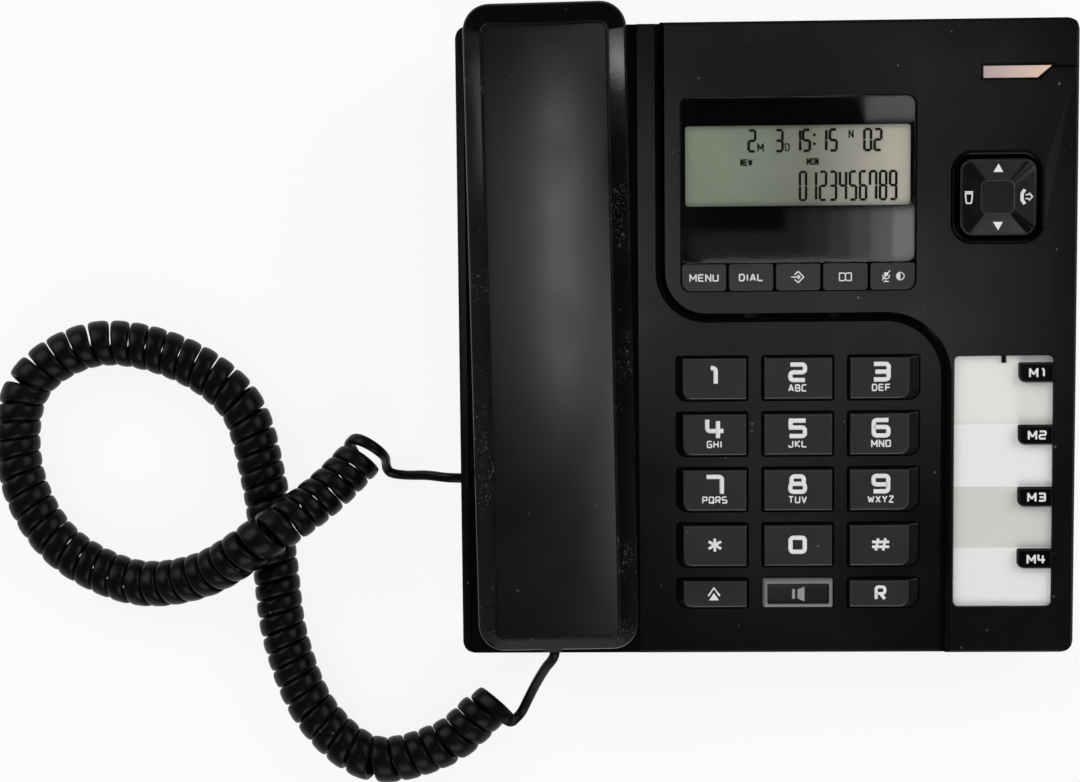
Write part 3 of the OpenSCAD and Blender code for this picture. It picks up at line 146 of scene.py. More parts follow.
for name, place, watts in LAMPS:
    soft_lamp(name, place, (0, 0, 0), LAMP_SIZE, watts)
for i in range(STRIP_COUNT):
    left = STRIP_LEFT + STRIP_WIDTH * i
    watts = STRIP_WATTS * STRIP_GROWTH ** i
    PANELS.append(("window_sheen_%d" % i, (left, left + STRIP_WIDTH), STRIP_SPAN, watts))
for name, across, along, watts in PANELS:
    middle = [sum(span) / 2 for span in (across, along)]
    size = [high - low for low, high in (across, along)]
    soft_lamp(name, (*middle, PANEL_HEIGHT), (*middle, 0), size, watts)
for name, place, size, watts in CARDS:
    soft_lamp(name, place, CARD_AIM, size, watts)

table = bpy.data.meshes.new("table_top")
table_corners = [(x * TABLE_REACH, y * TABLE_REACH, 0) for x, y in ((-1, -1), (1, -1), (1, 1), (-1, 1))]
table.from_pydata(table_corners, [], [(0, 1, 2, 3)])
table_white, tree, paint = new_finish("table_white")
paint.inputs["Base Color"].default_value = (*TABLE_WHITE, 1)
paint.inputs["Roughness"].default_value = 0.8
paint.inputs["Specular IOR Level"].default_value = 0
rays = put(tree, "ShaderNodeLightPath").outputs
seen = worked(tree, "MAXIMUM", rays["Is Camera Ray"], rays["Is Glossy Ray"])
seen = worked(tree, "MAXIMUM", seen, rays["Is Transmission Ray"])
share = worked(tree, "MULTIPLY", seen, TABLE_GLOW)
white = put(tree, "ShaderNodeEmission", {"Color": (1, 1, 1, 1), "Strength": 1.0})
table_shade = put(tree, "ShaderNodeMixShader", {0: share, 1: paint.outputs[0], 2: white.outputs[0]})
tree.links.new(table_shade.outputs[0], tree.nodes["Material Output"].inputs["Surface"])
table.materials.append(table_white)
table_top = bpy.data.objects.new("table_top", table)
scene.collection.objects.link(table_top)

# Curly cord: flat black vinyl cord wound in 74 curls, with a short straight lead at each end.
# One lead runs into the base's left side and the other into the handset's front end, and the
# curls lie on the table in a loop that crosses over itself near the base.
BASE_SHIFT = Vector((0, -2.537647, 0))  # from the part's origin to the base's middle, in millimetres
CORD_WIDTH, CORD_THICKNESS, LEAD_WIDTH, SPREAD_LIMIT = 4.4, 2.4, 3.1, 7.2
COIL_WIDTH, CURL_PITCH, CURL_RINGS, CURL_GAP, OPEN_CURL = 14.7, 5.1, 24, 0.25, 1.7
CURL_RADIUS = (COIL_WIDTH - CORD_THICKNESS) / 2
CORD_SIDES, CORD_ROUNDING = 14, 0.75
COIL_ROUTE = [
    (-124, -31, 8), (-138, -46, 15), (-157, -60, 22.5), (-178, -72, 15.5), (-202, -74, 9),
    (-226, -61, 7.4), (-238, -37, 7.4), (-235, -11, 7.4), (-214, 2, 7.4), (-188, -2, 7.4),
    (-167, -17, 7.4), (-159, -42, 7.4), (-155.5, -68, 7.4), (-152, -93, 7.4), (-142, -117, 7.4),
    (-124, -131, 7.4), (-101, -126, 7.4), (-86, -113, 7.4),
]
BASE_LEAD_ROUTE = [
    (-120.0, -37.5, 4.6), (-118.7, -39.8, 2.8), (-114, -40.7, 2.9), (-106.5, -40.8, 6.0),
    (-100, -41.5, 8.9),
]
BASE_SOCKET = (-94.7, -41.7, 9.2)
HANDSET_LEAD_ROUTE = [
    (-80.3, -119, 11), (-77.3, -117.6, 8.5), (-75, -113, 10.5), (-71.5, -106, 18), (-68, -100, 26.5),
]
PLUG_NEAR, PLUG_BACK = (-1.5, -101.1, 7), (-1.5, -98.9, 7)
COIL_STEPS, BASE_LEAD_STEPS, HANDSET_LEAD_STEPS, EASE_PASSES = 12, 10, 8, 40
BASE_EASE, COIL_EASE, PLUG_EASE = (-7, 13), (8, 24), (-9, 8)  # rings from a joint, and reach in rings
FIRST_CURL, FIRST_WIDTH, WIDTH_SPAN, LEAD_TAPER = (0, 10, 29), 3.9, 9, 14
FACE_TILT, FACE_FRONT = math.radians(6.6), (-96, 24)
HANDSET_PLACE, HANDSET_ASKEW = (-65.2, 101.2), math.radians(0.8)
UP = np.array((0, 0, 1))


def face_point(u, v, w):
    """A place in metres, from millimetres across the sloping face, up its slope and off it."""
    y = FACE_FRONT[0] + v * math.cos(FACE_TILT) - w * math.sin(FACE_TILT)
    z = FACE_FRONT[1] + v * math.sin(FACE_TILT) + w * math.cos(FACE_TILT)
    return (Vector((u, y, z)) + BASE_SHIFT) / 1000


def handset_point(x, y, w):
    """A point of the handset, which lies on the face a little askew."""
    turn, swing = math.cos(HANDSET_ASKEW), math.sin(HANDSET_ASKEW)
    return face_point(HANDSET_PLACE[0] + x * turn - y * swing, HANDSET_PLACE[1] + x * swing + y * turn, w)


def in_metres(points):
    """Places in metres, from millimetres measured from the base's middle."""
    return (np.asarray(points) + np.array(BASE_SHIFT)) / 1000


def smooth_route(points, steps):
    """A smooth curve through the points, with the given number of steps between two of them."""
    p = [np.array(q, float) for q in points]
    p = [p[0]] + p + [p[-1]]
    found = []
    for a, b, c, d in zip(p, p[1:], p[2:], p[3:]):
        for t in np.arange(steps) / steps:
            found.append(b + t / 2 * (c - a + t * (2 * a - 5 * b + 4 * c - d + t * (3 * (b - c) + d - a))))
    return np.array(found + [p[-1]])


def unit(v):
    """Vectors brought to a length of one."""
    return v / np.linalg.norm(v, axis=-1, keepdims=True)


def curls():
    """Middles of the curled cord, a fixed number to a curl, and the outward direction at each."""
    axis = smooth_route(COIL_ROUTE, COIL_STEPS)
    ahead = unit(np.gradient(axis, axis=0))
    steps = np.linalg.norm(np.diff(axis, axis=0), axis=1)
    turned = np.linalg.norm(np.diff(ahead, axis=0), axis=1)
    reach = np.concatenate([[0], np.cumsum(steps - CURL_RADIUS * turned)])
    count = round(reach[-1] / CURL_PITCH) * CURL_RINGS
    turns = np.arange(-CURL_RINGS // 4, count + 1) / CURL_RINGS
    start = OPEN_CURL + CURL_PITCH / 4
    along = start + (reach[-1] - start) * turns * CURL_RINGS / count
    along -= OPEN_CURL * np.clip(1 - (turns + 0.25) / 1.25, 0, 1) ** 2
    order = np.arange(len(axis))
    place = np.interp(along, reach, order)
    at = np.stack([np.interp(place, order, axis[:, i]) for i in range(3)], 1)
    way = unit(np.stack([np.interp(place, order, ahead[:, i]) for i in range(3)], 1))
    side = unit(np.cross(UP, way))
    angle = np.radians(90 + 360 * turns)[:, None]
    out = np.cos(angle) * side + np.sin(angle) * np.cross(way, side)
    return at + CURL_RADIUS * out, out


def relaxed(line, joints):
    """A line eased round its joints, each given as a point's number and a reach in points."""
    line = line.copy()
    pull = np.zeros((len(line), 1))
    for joint, reach in joints:
        near = np.arange(-reach, reach + 1)
        ease = 0.5 * np.cos(math.pi / 2 * near / reach) ** 2
        pull[joint + near, 0] = np.maximum(pull[joint + near, 0], ease)
    for _ in range(EASE_PASSES):
        line[1:-1] += pull[1:-1] * (0.5 * (line[:-2] + line[2:]) - line[1:-1])
    return line


coil, coil_out = curls()
plug_near, plug_back = (np.array(handset_point(*p) * 1000 - BASE_SHIFT) for p in (PLUG_NEAR, PLUG_BACK))
last = coil[-1] + CORD_WIDTH * 2 * unit(coil[-1] - coil[-2])
base_lead = smooth_route([coil[2], coil[0], *BASE_LEAD_ROUTE, BASE_SOCKET], BASE_LEAD_STEPS)
base_lead = base_lead[:BASE_LEAD_STEPS:-1]
handset_lead = smooth_route([last, *HANDSET_LEAD_ROUTE, plug_near, plug_back], HANDSET_LEAD_STEPS)
route = np.concatenate([base_lead, coil, handset_lead])
coil_end = len(base_lead) + len(coil)
joints = ((len(base_lead), BASE_EASE), (coil_end, COIL_EASE), (len(route), PLUG_EASE))
route = relaxed(route, [(joint + offset, reach) for joint, (offset, reach) in joints])

# The cord's thin way points out of the curls, and up in the leads. Neighbouring curls limit its width.
base_share, handset_share = (np.linspace(0, 1, len(lead))[:, None] for lead in (base_lead, handset_lead))
flat = np.concatenate([
    (1 - base_share) * UP + base_share * coil_out[0],
    coil_out,
    coil_out[-1] + handset_share * (UP - coil_out[-1]),
])
pitch = np.linalg.norm(coil[CURL_RINGS:] - coil[:-CURL_RINGS], axis=1)
room = np.minimum(np.append(pitch, pitch[-CURL_RINGS:]), np.append(pitch[:CURL_RINGS], pitch)) - CURL_GAP
room = np.pad(np.clip(room, CORD_WIDTH, SPREAD_LIMIT), WIDTH_SPAN // 2, "edge")
room = np.convolve(room, np.ones(WIDTH_SPAN) / WIDTH_SPAN, "valid")
opening = np.arange(FIRST_CURL[-1] + 1)
room[opening] = np.interp(opening, FIRST_CURL, (LEAD_WIDTH, FIRST_WIDTH, room[FIRST_CURL[-1]]))
narrowing = np.interp(np.arange(len(handset_lead)), (0, LEAD_TAPER), (room[-1], LEAD_WIDTH))
width = np.concatenate([np.full(len(base_lead), LEAD_WIDTH), room, narrowing])[:, None]
ahead = unit(np.gradient(route, axis=0))
flat = unit(flat - (flat * ahead).sum(1, keepdims=True) * ahead)
wide = np.cross(ahead, flat)
cord_lines = []
for k in range(CORD_SIDES):
    a = 2 * math.pi * k / CORD_SIDES
    across, over = (math.copysign(abs(s) ** CORD_ROUNDING, s) for s in (math.cos(a), math.sin(a)))
    cord_lines.append(route + width / 2 * across * wide + CORD_THICKNESS / 2 * over * flat)
cord_points = np.stack(cord_lines, 1).reshape(-1, 3)
cord_points[:, 2] = np.maximum(cord_points[:, 2], 0)


def ranged(tree, value, low, high, start=0.0, end=1.0):
    """A value that runs from start to end, brought to run from low to high."""
    return put(tree, "ShaderNodeMapRange", {0: value, 1: start, 2: end, 3: low, 4: high}).outputs[0]


def blended(tree, share, first, second, way="MIX"):
    """Two colours blended by a share."""
    feeds = {0: share, 6: first, 7: second}
    return put(tree, "ShaderNodeMix", feeds, data_type="RGBA", blend_type=way).outputs[2]


def noise(tree, place, scale, detail, distortion=0.0):
    """A cloudy pattern."""
    feeds = {"Vector": place, "Scale": scale, "Detail": detail, "Distortion": distortion}
    return put(tree, "ShaderNodeTexNoise", feeds).outputs[0]


def node_group(name, inputs, outputs, tree_kind="ShaderNodeTree"):
    """An empty group of nodes with its sockets, and the sockets of the nodes at its two ends."""
    group = bpy.data.node_groups.new(name, tree_kind)
    for direction, sockets in (("INPUT", inputs), ("OUTPUT", outputs)):
        for label, kind in sockets.items():
            group.interface.new_socket(label, in_out=direction, socket_type="NodeSocket" + kind)
    return group, group.nodes.new("NodeGroupInput").outputs, group.nodes.new("NodeGroupOutput").inputs


# Grain of a spark-eroded mould, with patches that hands have polished.
moulded_grain, given, made = node_group(
    "moulded_grain", {"Vector": "Vector", "Grain": "Float"}, {"Height": "Float", "Polish": "Float"})
fine = worked(moulded_grain, "DIVIDE", 1.0, given["Grain"])
broad = worked(moulded_grain, "MULTIPLY", fine, 0.03)
moulded_grain.links.new(noise(moulded_grain, given["Vector"], fine, 2.0), made["Height"])
moulded_grain.links.new(noise(moulded_grain, given["Vector"], broad, 4.0), made["Polish"])

# Dust specks, thinly and unevenly strewn.
settled_dust, given, made = node_group(
    "settled_dust", {"Vector": "Vector", "Spacing": "Float"}, {"Mask": "Float"})
often = worked(settled_dust, "DIVIDE", 1.0, given["Spacing"])
cells = put(settled_dust, "ShaderNodeTexVoronoi", {"Vector": given["Vector"], "Scale": often}).outputs
chance = put(settled_dust, "ShaderNodeSeparateColor", {0: cells["Color"]}).outputs[0]
speck = worked(settled_dust, "MULTIPLY", worked(settled_dust, "POWER", chance, 6.0), 0.14)
inside_speck = worked(settled_dust, "SUBTRACT", speck, cells["Distance"])
mask = worked(settled_dust, "MULTIPLY", inside_speck, 40.0, use_clamp=True)
settled_dust.links.new(mask, made["Mask"])

# Fine scuffs that come in patches.
scuff_marks, given, made = node_group(
    "scuff_marks", {"Vector": "Vector", "Mark": "Float"}, {"Mask": "Float"})
fine = worked(scuff_marks, "DIVIDE", 1.0, given["Mark"])
broad = worked(scuff_marks, "MULTIPLY", fine, 0.06)
marks = ranged(scuff_marks, noise(scuff_marks, given["Vector"], fine, 3.0, 2.5), 0, 1, 0.62, 0.7)
areas = ranged(scuff_marks, noise(scuff_marks, given["Vector"], broad, 2.0), 0, 1, 0.55, 0.66)
scuff_marks.links.new(worked(scuff_marks, "MULTIPLY", marks, areas), made["Mask"])

DUST_SPACING, DUST_GREY = 0.004, (0.32, 0.31, 0.3, 1)
SCUFF_SIZE, SCUFF_GREY = 0.0012, (0.3, 0.3, 0.3, 1)
EDGE_WEAR_AND_HIGHLIGHT_GREY = (0.25, 0.25, 0.25, 1)


def feed(tree, shader, colour, rough, height=None, depth=0.0):
    """Feeds a shader's colour, its roughness and, where a height is given, its bumps."""
    tree.links.new(colour, shader.inputs["Base Color"])
    tree.links.new(rough, shader.inputs["Roughness"])
    if height is not None:
        bump = put(tree, "ShaderNodeBump", {"Strength": 1.0, "Distance": depth, "Height": height})
        tree.links.new(bump.outputs[0], shader.inputs["Normal"])


def moulded(name, colour, rough, grain=0.0003, depth=0.00001, spread=0.06, dust=0.25, edge_wear_and_highlight=0.0, scuff=0.0,
            specular=0.5, metal=0.0):
    """Moulded plastic or rubber, or bare metal, with grain, uneven gloss and a few dust specks. Rounded
    edges are made paler where the edge setting is given, partly as wear and partly as painted highlight, and
    scuffs lie on it where scuff is given."""
    finish, tree, shader = new_finish(name)
    place = put(tree, "ShaderNodeTexCoord").outputs["Object"]
    grained = put(tree, "ShaderNodeGroup", {"Vector": place, "Grain": grain}, node_tree=moulded_grain)
    surface = grained.outputs
    gloss = ranged(tree, surface["Polish"], rough - spread, rough + spread, 0.3, 0.7)
    specks = put(tree, "ShaderNodeGroup", {"Vector": place, "Spacing": DUST_SPACING}, node_tree=settled_dust)
    dusty = worked(tree, "MULTIPLY", specks.outputs["Mask"], dust)
    # Rounded edges are painted paler: partly wear, partly a painted highlight along the roundings.
    rim = put(tree, "ShaderNodeAttribute", attribute_name="rim").outputs["Fac"]
    worn_and_highlit = worked(tree, "MULTIPLY", worked(tree, "MULTIPLY", rim, surface["Polish"]), edge_wear_and_highlight)
    body = blended(tree, worn_and_highlit, (*colour, 1), EDGE_WEAR_AND_HIGHLIGHT_GREY)
    body = blended(tree, dusty, body, DUST_GREY)
    if scuff:
        marks = put(tree, "ShaderNodeGroup", {"Vector": place, "Mark": SCUFF_SIZE}, node_tree=scuff_marks)
        scratched = worked(tree, "MULTIPLY", marks.outputs["Mask"], scuff)
        body = blended(tree, scratched, body, SCUFF_GREY)
    feed(tree, shader, body, gloss, surface["Height"], depth)
    shader.inputs["Specular IOR Level"].default_value = specular
    shader.inputs["Metallic"].default_value = metal
    return finish


def tube_faces(rings, sides):
    """Faces of a closed tube of rings with equally many points: one end, the rows and the other end."""
    faces = [tuple(range(sides))[::-1]]
    for ring in range(rings - 1):
        for k in range(sides):
            a, b = ring * sides + k, ring * sides + (k + 1) % sides
            faces.append((a, b, b + sides, a + sides))
    faces.append(tuple(range((rings - 1) * sides, rings * sides)))
    return faces


def add_piece(name, points, faces, *finishes):
    """A smooth-shaded mesh piece at the origin."""
    mesh = bpy.data.meshes.new(name)
    mesh.from_pydata([tuple(p) for p in points], [], faces)
    for finish in finishes:
        mesh.materials.append(finish)
    mesh.shade_smooth()
    piece = bpy.data.objects.new(name, mesh)
    scene.collection.objects.link(piece)
    return piece


cord_vinyl = moulded("cord_vinyl", (0.0025, 0.0025, 0.0025), 0.3, grain=0.0006, dust=0.2, specular=0.1)
curly_cord = add_piece("curly_cord", in_metres(cord_points), tube_faces(len(route), CORD_SIDES), cord_vinyl)
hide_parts("cord_coil", "cord_lead_base", "cord_lead_handset")
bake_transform(curly_cord)

# Modular plugs: smoke-coloured polycarbonate bodies crimped on the cord's two ends.
# Each one snaps into its socket, so little more than its back is seen.
plug_resin = moulded("plug_resin", (0.05, 0.05, 0.055), 0.18, grain=0.0008, depth=0.000004, dust=0.1)
for node in ("base_plug", "handset_plug"):
    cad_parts[node].data.materials[0] = plug_resin

# Lower shell, battery door and feet: black polystyrene mouldings with spark-eroded undersides.
# The door is screwed down over the cells, and four rubber feet are pressed into round cups.
MERGE_REACH, FLAT_ANGLE, EDGE_ANGLE = 2e-6, math.radians(0.6), math.radians(35)
FACE_ORIGIN = face_point(0, 0, 0)
FACE_OUT = face_point(0, 0, 1000) - FACE_ORIGIN


def over_face(place):
    """Height of a place over the sloping face, in millimetres."""
    return (place - FACE_ORIGIN).dot(FACE_OUT) * 1000


def merged_copy(node):
    """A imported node's mesh to work on, merged and with its flat faces joined."""
    work = bmesh.new()
    work.from_mesh(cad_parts[node].data)
    bmesh.ops.remove_doubles(work, verts=work.verts, dist=MERGE_REACH)
    bmesh.ops.dissolve_limit(work, angle_limit=FLAT_ANGLE, verts=work.verts, edges=work.edges)
    return work


def worked_piece(name, work, *finishes):
    """A piece at the origin from a worked mesh."""
    mesh = bpy.data.meshes.new(name)
    work.to_mesh(mesh)
    work.free()
    mesh.materials.clear()
    for finish in finishes:
        mesh.materials.append(finish)
    piece = bpy.data.objects.new(name, mesh)
    scene.collection.objects.link(piece)
    return piece


def fit(piece, body, slot, *nodes):
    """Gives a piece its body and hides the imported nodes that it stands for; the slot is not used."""
    if nodes:
        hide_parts(*nodes)
    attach(piece, body)


def eased_copy(node, name, ease, finish, body, slot, band=None):
    """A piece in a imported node's place, with its sharp edges eased as a mould leaves them. A band is a
    second finish, for faces whose middle lies between two heights over the sloping face."""
    piece = worked_piece(name, merged_copy(node), finish, *(band[:1] if band else ()))
    if band:
        for face in piece.data.polygons:
            face.material_index = int(band[1] < over_face(face.center) < band[2])
    piece.data.shade_smooth()
    edges = piece.modifiers.new("eased_edges", "BEVEL")
    edges.width = ease
    edges.segments = 2
    edges.limit_method = "ANGLE"
    edges.angle_limit = EDGE_ANGLE
    piece.modifiers.new("even_shading", "WEIGHTED_NORMAL").keep_sharp = True
    fit(piece, body, slot, node)


case_black = moulded("case_black", (0.0022, 0.0021, 0.002), 0.17, grain=0.0005, depth=0.000008, spread=0.03,
                     specular=0.28)
foot_rubber = moulded("foot_rubber", (0.02, 0.02, 0.02), 0.75, grain=0.0004, depth=0.00004, dust=0.6)
eased_copy("base_bottom", "lower_shell", 0.0003, case_black, "base", "base_plastic")
eased_copy("battery_door", "battery_lid", 0.0002, case_black, "base", "base_plastic")
eased_copy("rubber_feet", "feet", 0.0004, foot_rubber, "base", "foot_rubber")

# Works inside the base and the handset: cells, board, rubber mat, loudspeaker, capsules, switch, sockets.
# Metal cans, bare wire, rubber and resin, they are held in the shells and show only through gaps.
# Each row gives a node, its finish, colour, roughness, grain, depth of the grain, and 1 for metal.
INSIDE = [
    ("battery_cells", "cell_sleeve", (0.05, 0.2, 0.12), 0.3, 0.002, 0.000005, 0),
    ("main_pcb", "board_mask", (0.01, 0.09, 0.04), 0.35, 0.0008, 0.00002, 0),
    ("keypad_mat", "mat_rubber", (0.06, 0.06, 0.06), 0.7, 0.0006, 0.00003, 0),
    ("nav_stem", "stem_rubber", (0.06, 0.06, 0.06), 0.7, 0.0006, 0.00003, 0),
    ("loudspeaker", "speaker_cone", (0.03, 0.03, 0.03), 0.6, 0.0005, 0.00004, 0),
    ("base_microphone", "capsule_can", (0.4, 0.4, 0.4), 0.3, 0.001, 0.000005, 1),
    ("hook_housing", "switch_resin", (0.02, 0.02, 0.02), 0.4, 0.0003, 0.00001, 0),
    ("hook_spring", "spring_wire", (0.4, 0.4, 0.39), 0.28, 0.0004, 0.000005, 1),
    ("earpiece", "receiver_can", (0.3, 0.3, 0.3), 0.35, 0.001, 0.000005, 1),
    ("handset_microphone", "microphone_can", (0.3, 0.3, 0.3), 0.35, 0.001, 0.000005, 1),
    ("handset_socket", "socket_resin", (0.012, 0.012, 0.012), 0.35, 0.0003, 0.00001, 0),
]
for node, name, colour, rough, grain, depth, metal in INSIDE:
    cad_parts[node].data.materials[0] = moulded(name, colour, rough, grain, depth, metal=metal)
socket_black = moulded("socket_black", (0.012, 0.012, 0.012), 0.3)
eased_copy("line_jack", "line_socket_body", 0.0001, socket_black, "base", "socket_plastic")
eased_copy("handset_jack", "handset_socket_body", 0.0001, socket_black, "base", "socket_plastic")

# Upper shell: one black moulding with the sloping face, the key holes and the handset's cradle.
# It closes on the lower shell and is held by six long screws from below.
# Faces lying just under the sloping face, the groove along the fascia among them, get a darker, barely
# reflective finish: painted shade in these recesses.
groove_painted_shade = moulded("groove_painted_shade", (0.001, 0.001, 0.001), 0.4, grain=0.0005, depth=0.000004, dust=0.05,
                       specular=0.05)
eased_copy("base_top", "upper_shell", 0.00025, case_black, "base", "base_plastic",
           band=(groove_painted_shade, -2.1, -0.1))

# Hook plunger: the black tongue in the cradle that the lying handset holds down.
# A moulding of the case's plastic, it slides in a housing below, and a spring lifts it with the handset.
eased_copy("hook_plunger", "hook_tongue", 0.0003, case_black, "hook", "base_plastic")

# Fascia: the raised panel round the display and the right-hand keys, a separate black moulding.
# It lies in a recess of the upper shell, and its S-shaped edge has a polished chamfer and a groove.
fascia_black = moulded("fascia_black", (0.0026, 0.0024, 0.0022), 0.17, grain=0.0005, depth=0.000008,
                       spread=0.03, specular=0.4)
# The fascia's faces under its top, the chamfer among them, are polished and also painted darker and barely
# reflective: painted shade on the chamfer.
fascia_polish_and_shade = moulded("fascia_polish_and_shade", (0.0012, 0.0012, 0.0012), 0.12, grain=0.0005, depth=0.000002,
                       dust=0.1, specular=0.12)
eased_copy("fascia_panel", "fascia", 0.0002, fascia_black, "base", "fascia_plastic",
           band=(fascia_polish_and_shade, -9, 1.9))

# Number keys: twelve black satin caps on the rubber mat, with white figures printed on them.
# The outer front corners are cut round, and a nib on the 5 guides the finger. Below them stand
# the redial, speaker and flash keys, the speaker key a grey frame with a black insert.
KEY_COLUMNS, KEY_ROWS = (-16.4, 9.8, 36.0), (18.7, 33.7, 50.9, 68.1, 85.3)
KEY_SIZE, LOW_KEY_SIZE, KEY_ROUND, KEY_CORNER = (21.7, 13.5), (21.7, 9.1), 3.25, 0.65
KEYS = {
    "key_1": (0, 4), "key_2": (1, 4), "key_3": (2, 4),
    "key_4": (0, 3), "key_5": (1, 3), "key_6": (2, 3),
    "key_7": (0, 2), "key_8": (1, 2), "key_9": (2, 2),
    "key_star": (0, 1), "key_0": (1, 1), "key_hash": (2, 1),
    "key_redial": (0, 0), "key_flash": (2, 0), "key_speaker": (1, 0),
}
KEY_SLOPE_TOP, KEY_TOP, KEY_WINGS = 1.8, 2.2, ((1.3, 0), (0, 0), (0, 2.7))
KEY_PROFILE = [(0, -1.0), (0, 0.0), (0.35, KEY_SLOPE_TOP), (0.75, KEY_TOP), (2.0, KEY_TOP)]
KEY_EASES, TOP_ROWS, LEAST_CORNER = [0.15, 0.2, 0.2], 6, 0.12
INSERT_SIZE, INSERT_CORNER, INSERT_LOW, INSERT_TOP = (19.0, 6.4), 0.6, 1.0, 2.32
NIB_SIZE, NIB_CORNER, NIB_LOW, NIB_TOP, NIB_FORWARD = (4.4, 0.9), 0.42, 2.0, 2.5, 5.55


def outline(size, radii, steps=6, across=1):
    """Points of a rectangle with round corners, from the front left corner anticlockwise, with its front
    and rear sides in the given number of parts."""
    found = []
    for k, (sx, sy) in enumerate(((-1, -1), (1, -1), (1, 1), (-1, 1))):
        for i in range(steps + 1):
            a = math.radians(180 + 90 * k + 90 * i / steps)
            found.append((sx * (size[0] / 2 - radii[k]) + radii[k] * math.cos(a),
                          sy * (size[1] / 2 - radii[k]) + radii[k] * math.sin(a)))
        if k in (0, 2):
            (ax, y), bx = found[-1], -sx * (size[0] / 2 - radii[k + 1])
            found += [(ax + (bx - ax) * i / across, y) for i in range(1, across)]
    return found


def eased(corners, eases, steps=4):
    """A line through the corners, rounded where an ease is given, and how far into a rounding each of its
    points lies."""
    corners = [np.array(c, float) for c in corners]
    line, rim = [corners[0]], [0.0]
    for a, b, c, ease in zip(corners, corners[1:], corners[2:], eases):
        start, end = b + ease * unit(a - b), b + ease * unit(c - b)
        for t in np.arange(steps + 1) / steps:
            line.append((1 - t) ** 2 * start + 2 * t * (1 - t) * b + t * t * end)
            rim.append(math.sin(math.pi * t))
    return line + [corners[-1]], rim + [0.0]


def skin(name, rings, rim, *finishes, second=()):
    """A closed piece from rings of equally many points, lowest ring first, with its rounded rings marked for
    paler edges, partly wear and partly painted highlight.
    The rows of faces named in second take the second finish."""
    count = len(rings[0])
    points = [p for ring in rings for p in ring]
    piece = add_piece(name, points, tube_faces(len(rings), count), *finishes)
    for row in second:
        for face in piece.data.polygons[1 + row * count:1 + (row + 1) * count]:
            face.material_index = 1
    marks = piece.data.attributes.new("rim", "FLOAT", "POINT")
    marks.data.foreach_set("value", np.repeat(rim, count).astype(np.float32))
    piece.modifiers.new("even_shading", "WEIGHTED_NORMAL")
    return piece


def cap(name, centre, size, radii, profile, eases, *finishes, wings=(0, 0)):
    """A cap on the face whose sides follow a profile of insets and heights. Its left and right sides
    slope in further by the wings, and a second finish is for its sides."""
    line, rim = eased(profile, eases)
    rings = []
    for inset, w in line:
        left, right = (wing * min(max(w / KEY_SLOPE_TOP, 0), 1) for wing in wings)
        corners = [max(radius - inset, LEAST_CORNER) for radius in radii]
        shape = outline((size[0] - 2 * inset - left - right, size[1] - 2 * inset), corners)
        rings.append([face_point(centre[0] + x + (left - right) / 2, centre[1] + y, w) for x, y in shape])
    sides = range(len(line) - 1 - TOP_ROWS) if len(finishes) > 1 else ()
    return skin(name, rings, rim, *finishes, second=sides)


def flat_cap(name, centre, size, radii, low, top, ease, finish, inset=1.5):
    """A cap with upright sides and a flat top, whose last ring lies inside its edge by the inset."""
    return cap(name, centre, size, radii, [(0, low), (0, top), (inset, top)], [ease], finish)


def front_rounds(left, right, wide, narrow):
    """Radii of a cap's corners, wide at the front left or the front right where that one is cut round."""
    return [wide if left else narrow, wide if right else narrow, narrow, narrow]


key_black = moulded("key_black", (0.012, 0.0112, 0.0102), 0.32, grain=0.0004, edge_wear_and_highlight=0.25)
# The caps' sloping sides get a darker, less reflective copy of the key finish: painted shade on the sides.
key_wall_shade = moulded("key_side_black", (0.003, 0.003, 0.0028), 0.3, grain=0.0004, depth=0.000008, specular=0.2)
frame_grey = moulded("speaker_key_grey", (0.2, 0.2, 0.208), 0.25, grain=0.0006)
insert_black = moulded("speaker_cap_black", (0.004, 0.004, 0.004), 0.12, grain=0.0008, depth=0.000003)
for name, (column, row) in KEYS.items():
    centre, size = (KEY_COLUMNS[column], KEY_ROWS[row]), LOW_KEY_SIZE if row == 0 else KEY_SIZE
    radii = front_rounds(column == 0, column == 2, KEY_ROUND, KEY_CORNER)
    finishes = [frame_grey] if name == "key_speaker" else [key_black, key_wall_shade]
    piece = cap(name + "_cap", centre, size, radii, KEY_PROFILE, KEY_EASES, *finishes,
                wings=KEY_WINGS[column])
    slot = "speaker_key_frame" if name == "key_speaker" else "key_plastic"
    fit(piece, name + "_body", slot, name)
piece = flat_cap("speaker_key_insert", (KEY_COLUMNS[1], KEY_ROWS[0]), INSERT_SIZE, [INSERT_CORNER] * 4,
                 INSERT_LOW, INSERT_TOP, 0.2, insert_black, inset=1.2)
fit(piece, "key_speaker_body", "speaker_key_cap", "key_speaker_cap")
piece = flat_cap("key_5_nib", (KEY_COLUMNS[1], KEY_ROWS[3] - NIB_FORWARD), NIB_SIZE, [NIB_CORNER] * 4,
                 NIB_LOW, NIB_TOP, 0.2, key_black, inset=0.3)
fit(piece, "key_5_body", "key_plastic")

